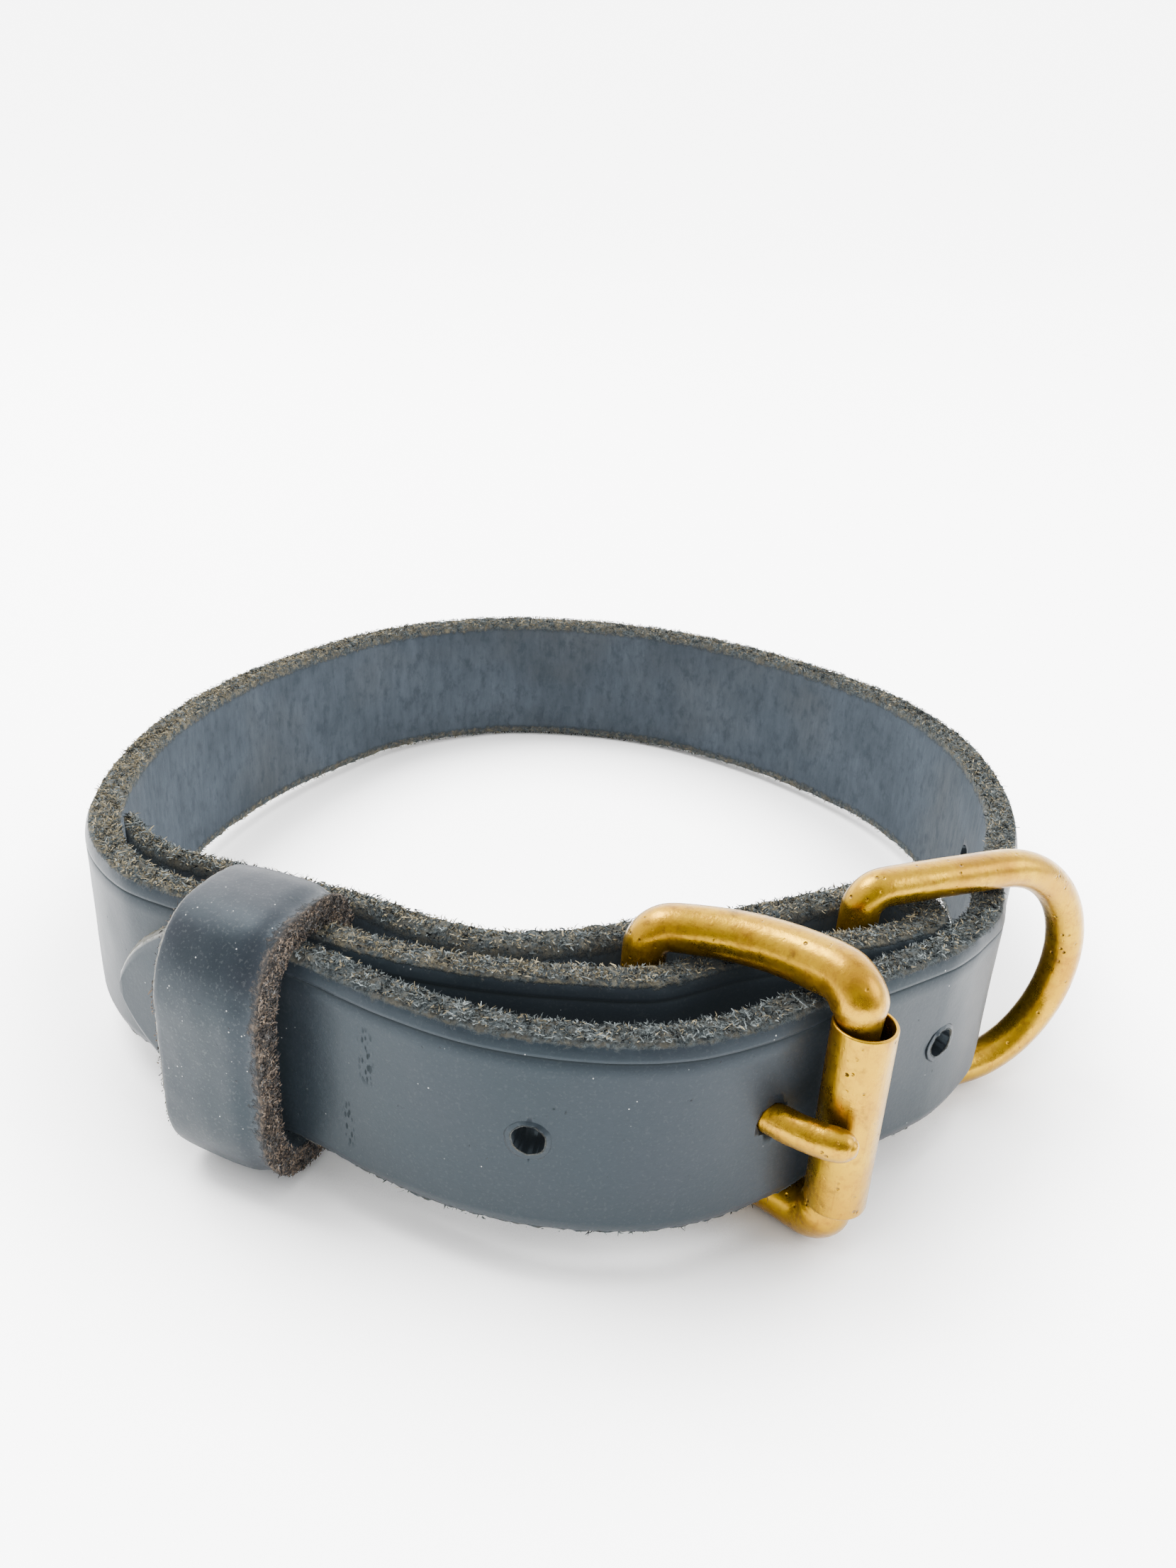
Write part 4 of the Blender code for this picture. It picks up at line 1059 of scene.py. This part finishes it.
def rounded_copy(node, name, body, wire, material):
    """A smooth piece over a node of eight-sided wire, as thick as its corners.

    The subdivision rounds the wire, and the displacement gives back what it loses.
    """
    shape = level_mesh(node)
    bmesh.ops.join_triangles(
        shape, faces=shape.faces, angle_face_threshold=radians(40), angle_shape_threshold=radians(180)
    )
    data = bpy.data.meshes.new(name)
    shape.to_mesh(data)
    shape.free()
    data.shade_smooth()
    data.materials.append(material)
    item = place(name, data, body, [node], node)
    rounding = item.modifiers.new("rounding", "SUBSURF")
    rounding.levels = 2
    rounding.render_levels = 2
    grow = item.modifiers.new("grow", "DISPLACE")
    grow.strength = WIRE_LOSS * wire
    grow.mid_level = 0.0
    return item


def make_prong_tip(material):
    """The prong's bar outside the strap: blunt, a little flattened and uneven."""
    shape = level_mesh("prong")
    places = np.array([vertex.co for vertex in shape.verts])
    shape.free()
    middle = (places[:, 2].min() + places[:, 2].max()) / 2
    radius = PRONG_WIRE / 2
    ridge = places[places[:, 2] > middle + 0.97 * radius]
    path = ridge[np.argsort(ridge[:, 0])][:, :2]
    path = path[path[:, 0] > path[-1, 0] - PRONG_SHOWN]
    end = places[np.argsort(places[:, 0])[-8:], :2].mean(axis=0)
    path = np.vstack([path, end])
    fine, _, travelled = smooth_line(path, np.zeros(len(path)), 0.2 * MM)
    left = sides(fine)
    rows = []
    for point, side, distance in zip(fine, left, travelled):
        ahead = max((distance - travelled[-1] + PRONG_ROUNDING) / PRONG_ROUNDING, 0.0)
        size = radius * max(1 - ahead**2.6, 0.02) ** 0.5
        ring = []
        for step in range(28):
            angle = 2 * pi * step / 28
            flat = 1 - 0.07 * max(0.0, cos(angle + pi / 3)) ** 2
            uneven = 1 + 0.03 * rough(Vector((*point, angle * MM)), 2 * MM, 3)
            out = size * flat * uneven
            ring.append((*(point + 0.97 * out * cos(angle) * side), middle + 1.08 * out * sin(angle)))
        rows.append(ring)
    data = grid_mesh("prong_tip", np.array(rows), {}, cyclic=False, capped=True)
    data.materials.append(material)
    return place("prong_tip", data, "collar", slot="prong")


# Stage


def make_floor():
    """A white sweep: a floor that curves up into a wall far behind."""
    profile = [(SWEEP_FRONT, 0.0), (SWEEP_START, 0.0)]
    for step in range(1, SWEEP_STEPS + 1):
        angle = pi / 2 * step / SWEEP_STEPS
        profile.append((SWEEP_START + SWEEP_RADIUS * sin(angle), SWEEP_RADIUS * (1 - cos(angle))))
    profile.append((SWEEP_START + SWEEP_RADIUS, SWEEP_HEIGHT))
    corners = []
    faces = []
    for index, (y, z) in enumerate(profile):
        corners += [(-SWEEP_SIDE, y, z), (SWEEP_SIDE, y, z)]
        if index:
            faces.append((2 * index - 2, 2 * index - 1, 2 * index + 1, 2 * index))
    data = bpy.data.meshes.new("floor")
    data.from_pydata(corners, [], faces)
    data.shade_smooth()
    data.materials.append(floor_material())
    floor = bpy.data.objects.new("floor", data)
    bpy.context.scene.collection.objects.link(floor)


def make_light():
    """A bright sky all round, darker behind the camera, and two soft lamps."""
    world = bpy.data.worlds.new("studio")
    bpy.context.scene.world = world
    world.use_nodes = True
    tree = world.node_tree
    background = tree.nodes["Background"]
    background.inputs["Color"].default_value = WHITE
    direction = tree.nodes.new("ShaderNodeTexCoord").outputs["Generated"]
    split = tree.nodes.new("ShaderNodeSeparateXYZ")
    tree.links.new(direction, split.inputs[0])
    dim = tree.nodes.new("ShaderNodeMapRange")
    dim.interpolation_type = "SMOOTHSTEP"
    limits = {"From Min": -0.9, "From Max": -0.1, "To Min": SKY_BEHIND, "To Max": SKY}
    for name, value in limits.items():
        dim.inputs[name].default_value = value
    tree.links.new(split.outputs["Y"], dim.inputs["Value"])
    tree.links.new(dim.outputs["Result"], background.inputs["Strength"])
    for name, spot, size, power in LAMPS:
        lamp = bpy.data.lights.new(name, "AREA")
        lamp.size = size
        lamp.energy = power
        item = bpy.data.objects.new(name, lamp)
        item.location = spot
        item.rotation_euler = (-Vector(spot)).to_track_quat("-Z", "Y").to_euler()
        bpy.context.scene.collection.objects.link(item)


def make_camera():
    """The photograph's camera."""
    data = bpy.data.cameras.new("camera")
    data.sensor_width = SENSOR
    data.lens = FOCAL_PIXELS / PHOTO_HEIGHT * SENSOR
    data.clip_start = 0.005
    camera = bpy.data.objects.new("camera", data)
    bpy.context.scene.collection.objects.link(camera)
    turn = Matrix.Rotation(CAMERA_HEADING, 4, "Z") @ Matrix.Rotation(pi / 2 - CAMERA_PITCH, 4, "X")
    camera.matrix_world = Matrix.Translation(CAMERA_PLACE) @ turn @ Matrix.Rotation(CAMERA_ROLL, 4, "Z")
    bpy.context.scene.camera = camera


make_camera()
make_light()
make_floor()
points, walls, heights = strap_line()
line, thickness, travelled = smooth_line(points, walls, STRAP_STEP)
line = fuller_fold(line, travelled)
collar_leather = leather("collar_leather", FELT, purple=0.35, rareness=0.64, dusty=0.010)
strap = make_strap(line, thickness, heights, travelled, collar_leather)
punch_holes(strap, line, thickness, heights, travelled)
make_lips(line, thickness, heights, travelled, collar_leather)
loose = fibre_material("collar_fibres", FELT_DARK, CRUMB_GREY, FELT_BROWN, CRUMB_OCHRE)
make_strap_fibres(line, thickness, heights, travelled, loose)
rusty = fibre_material("keeper_fibres", RUST_DARK, RUST_GREY, RUST_BROWN, RUST_LIGHT)
keeper_leather = leather("keeper_leather", RUST, purple=0.8, rareness=0.56, dusty=0.028)
make_keeper(line, keeper_leather, rusty)
frame_brass = brass("frame_brass", wear=0.85)
worn_brass = brass("worn_brass", wear=1.0)
ring_brass = brass("ring_brass", wear=0.8)
make_roller(brass("roller_brass", wear=0.75))
rounded_copy("buckle_frame", "buckle_loop", "collar", BUCKLE_WIRE, frame_brass)
rounded_copy("d_ring", "leash_ring", "d_ring", RING_WIRE, ring_brass)
rounded_copy("prong", "prong_bar", "collar", PRONG_WIRE, worn_brass)
make_prong_tip(worn_brass)
for name in ("rivet_left", "rivet_right"):
    node = frame["nodes"][name]
    node.data.materials.clear()
    node.data.materials.append(frame_brass)
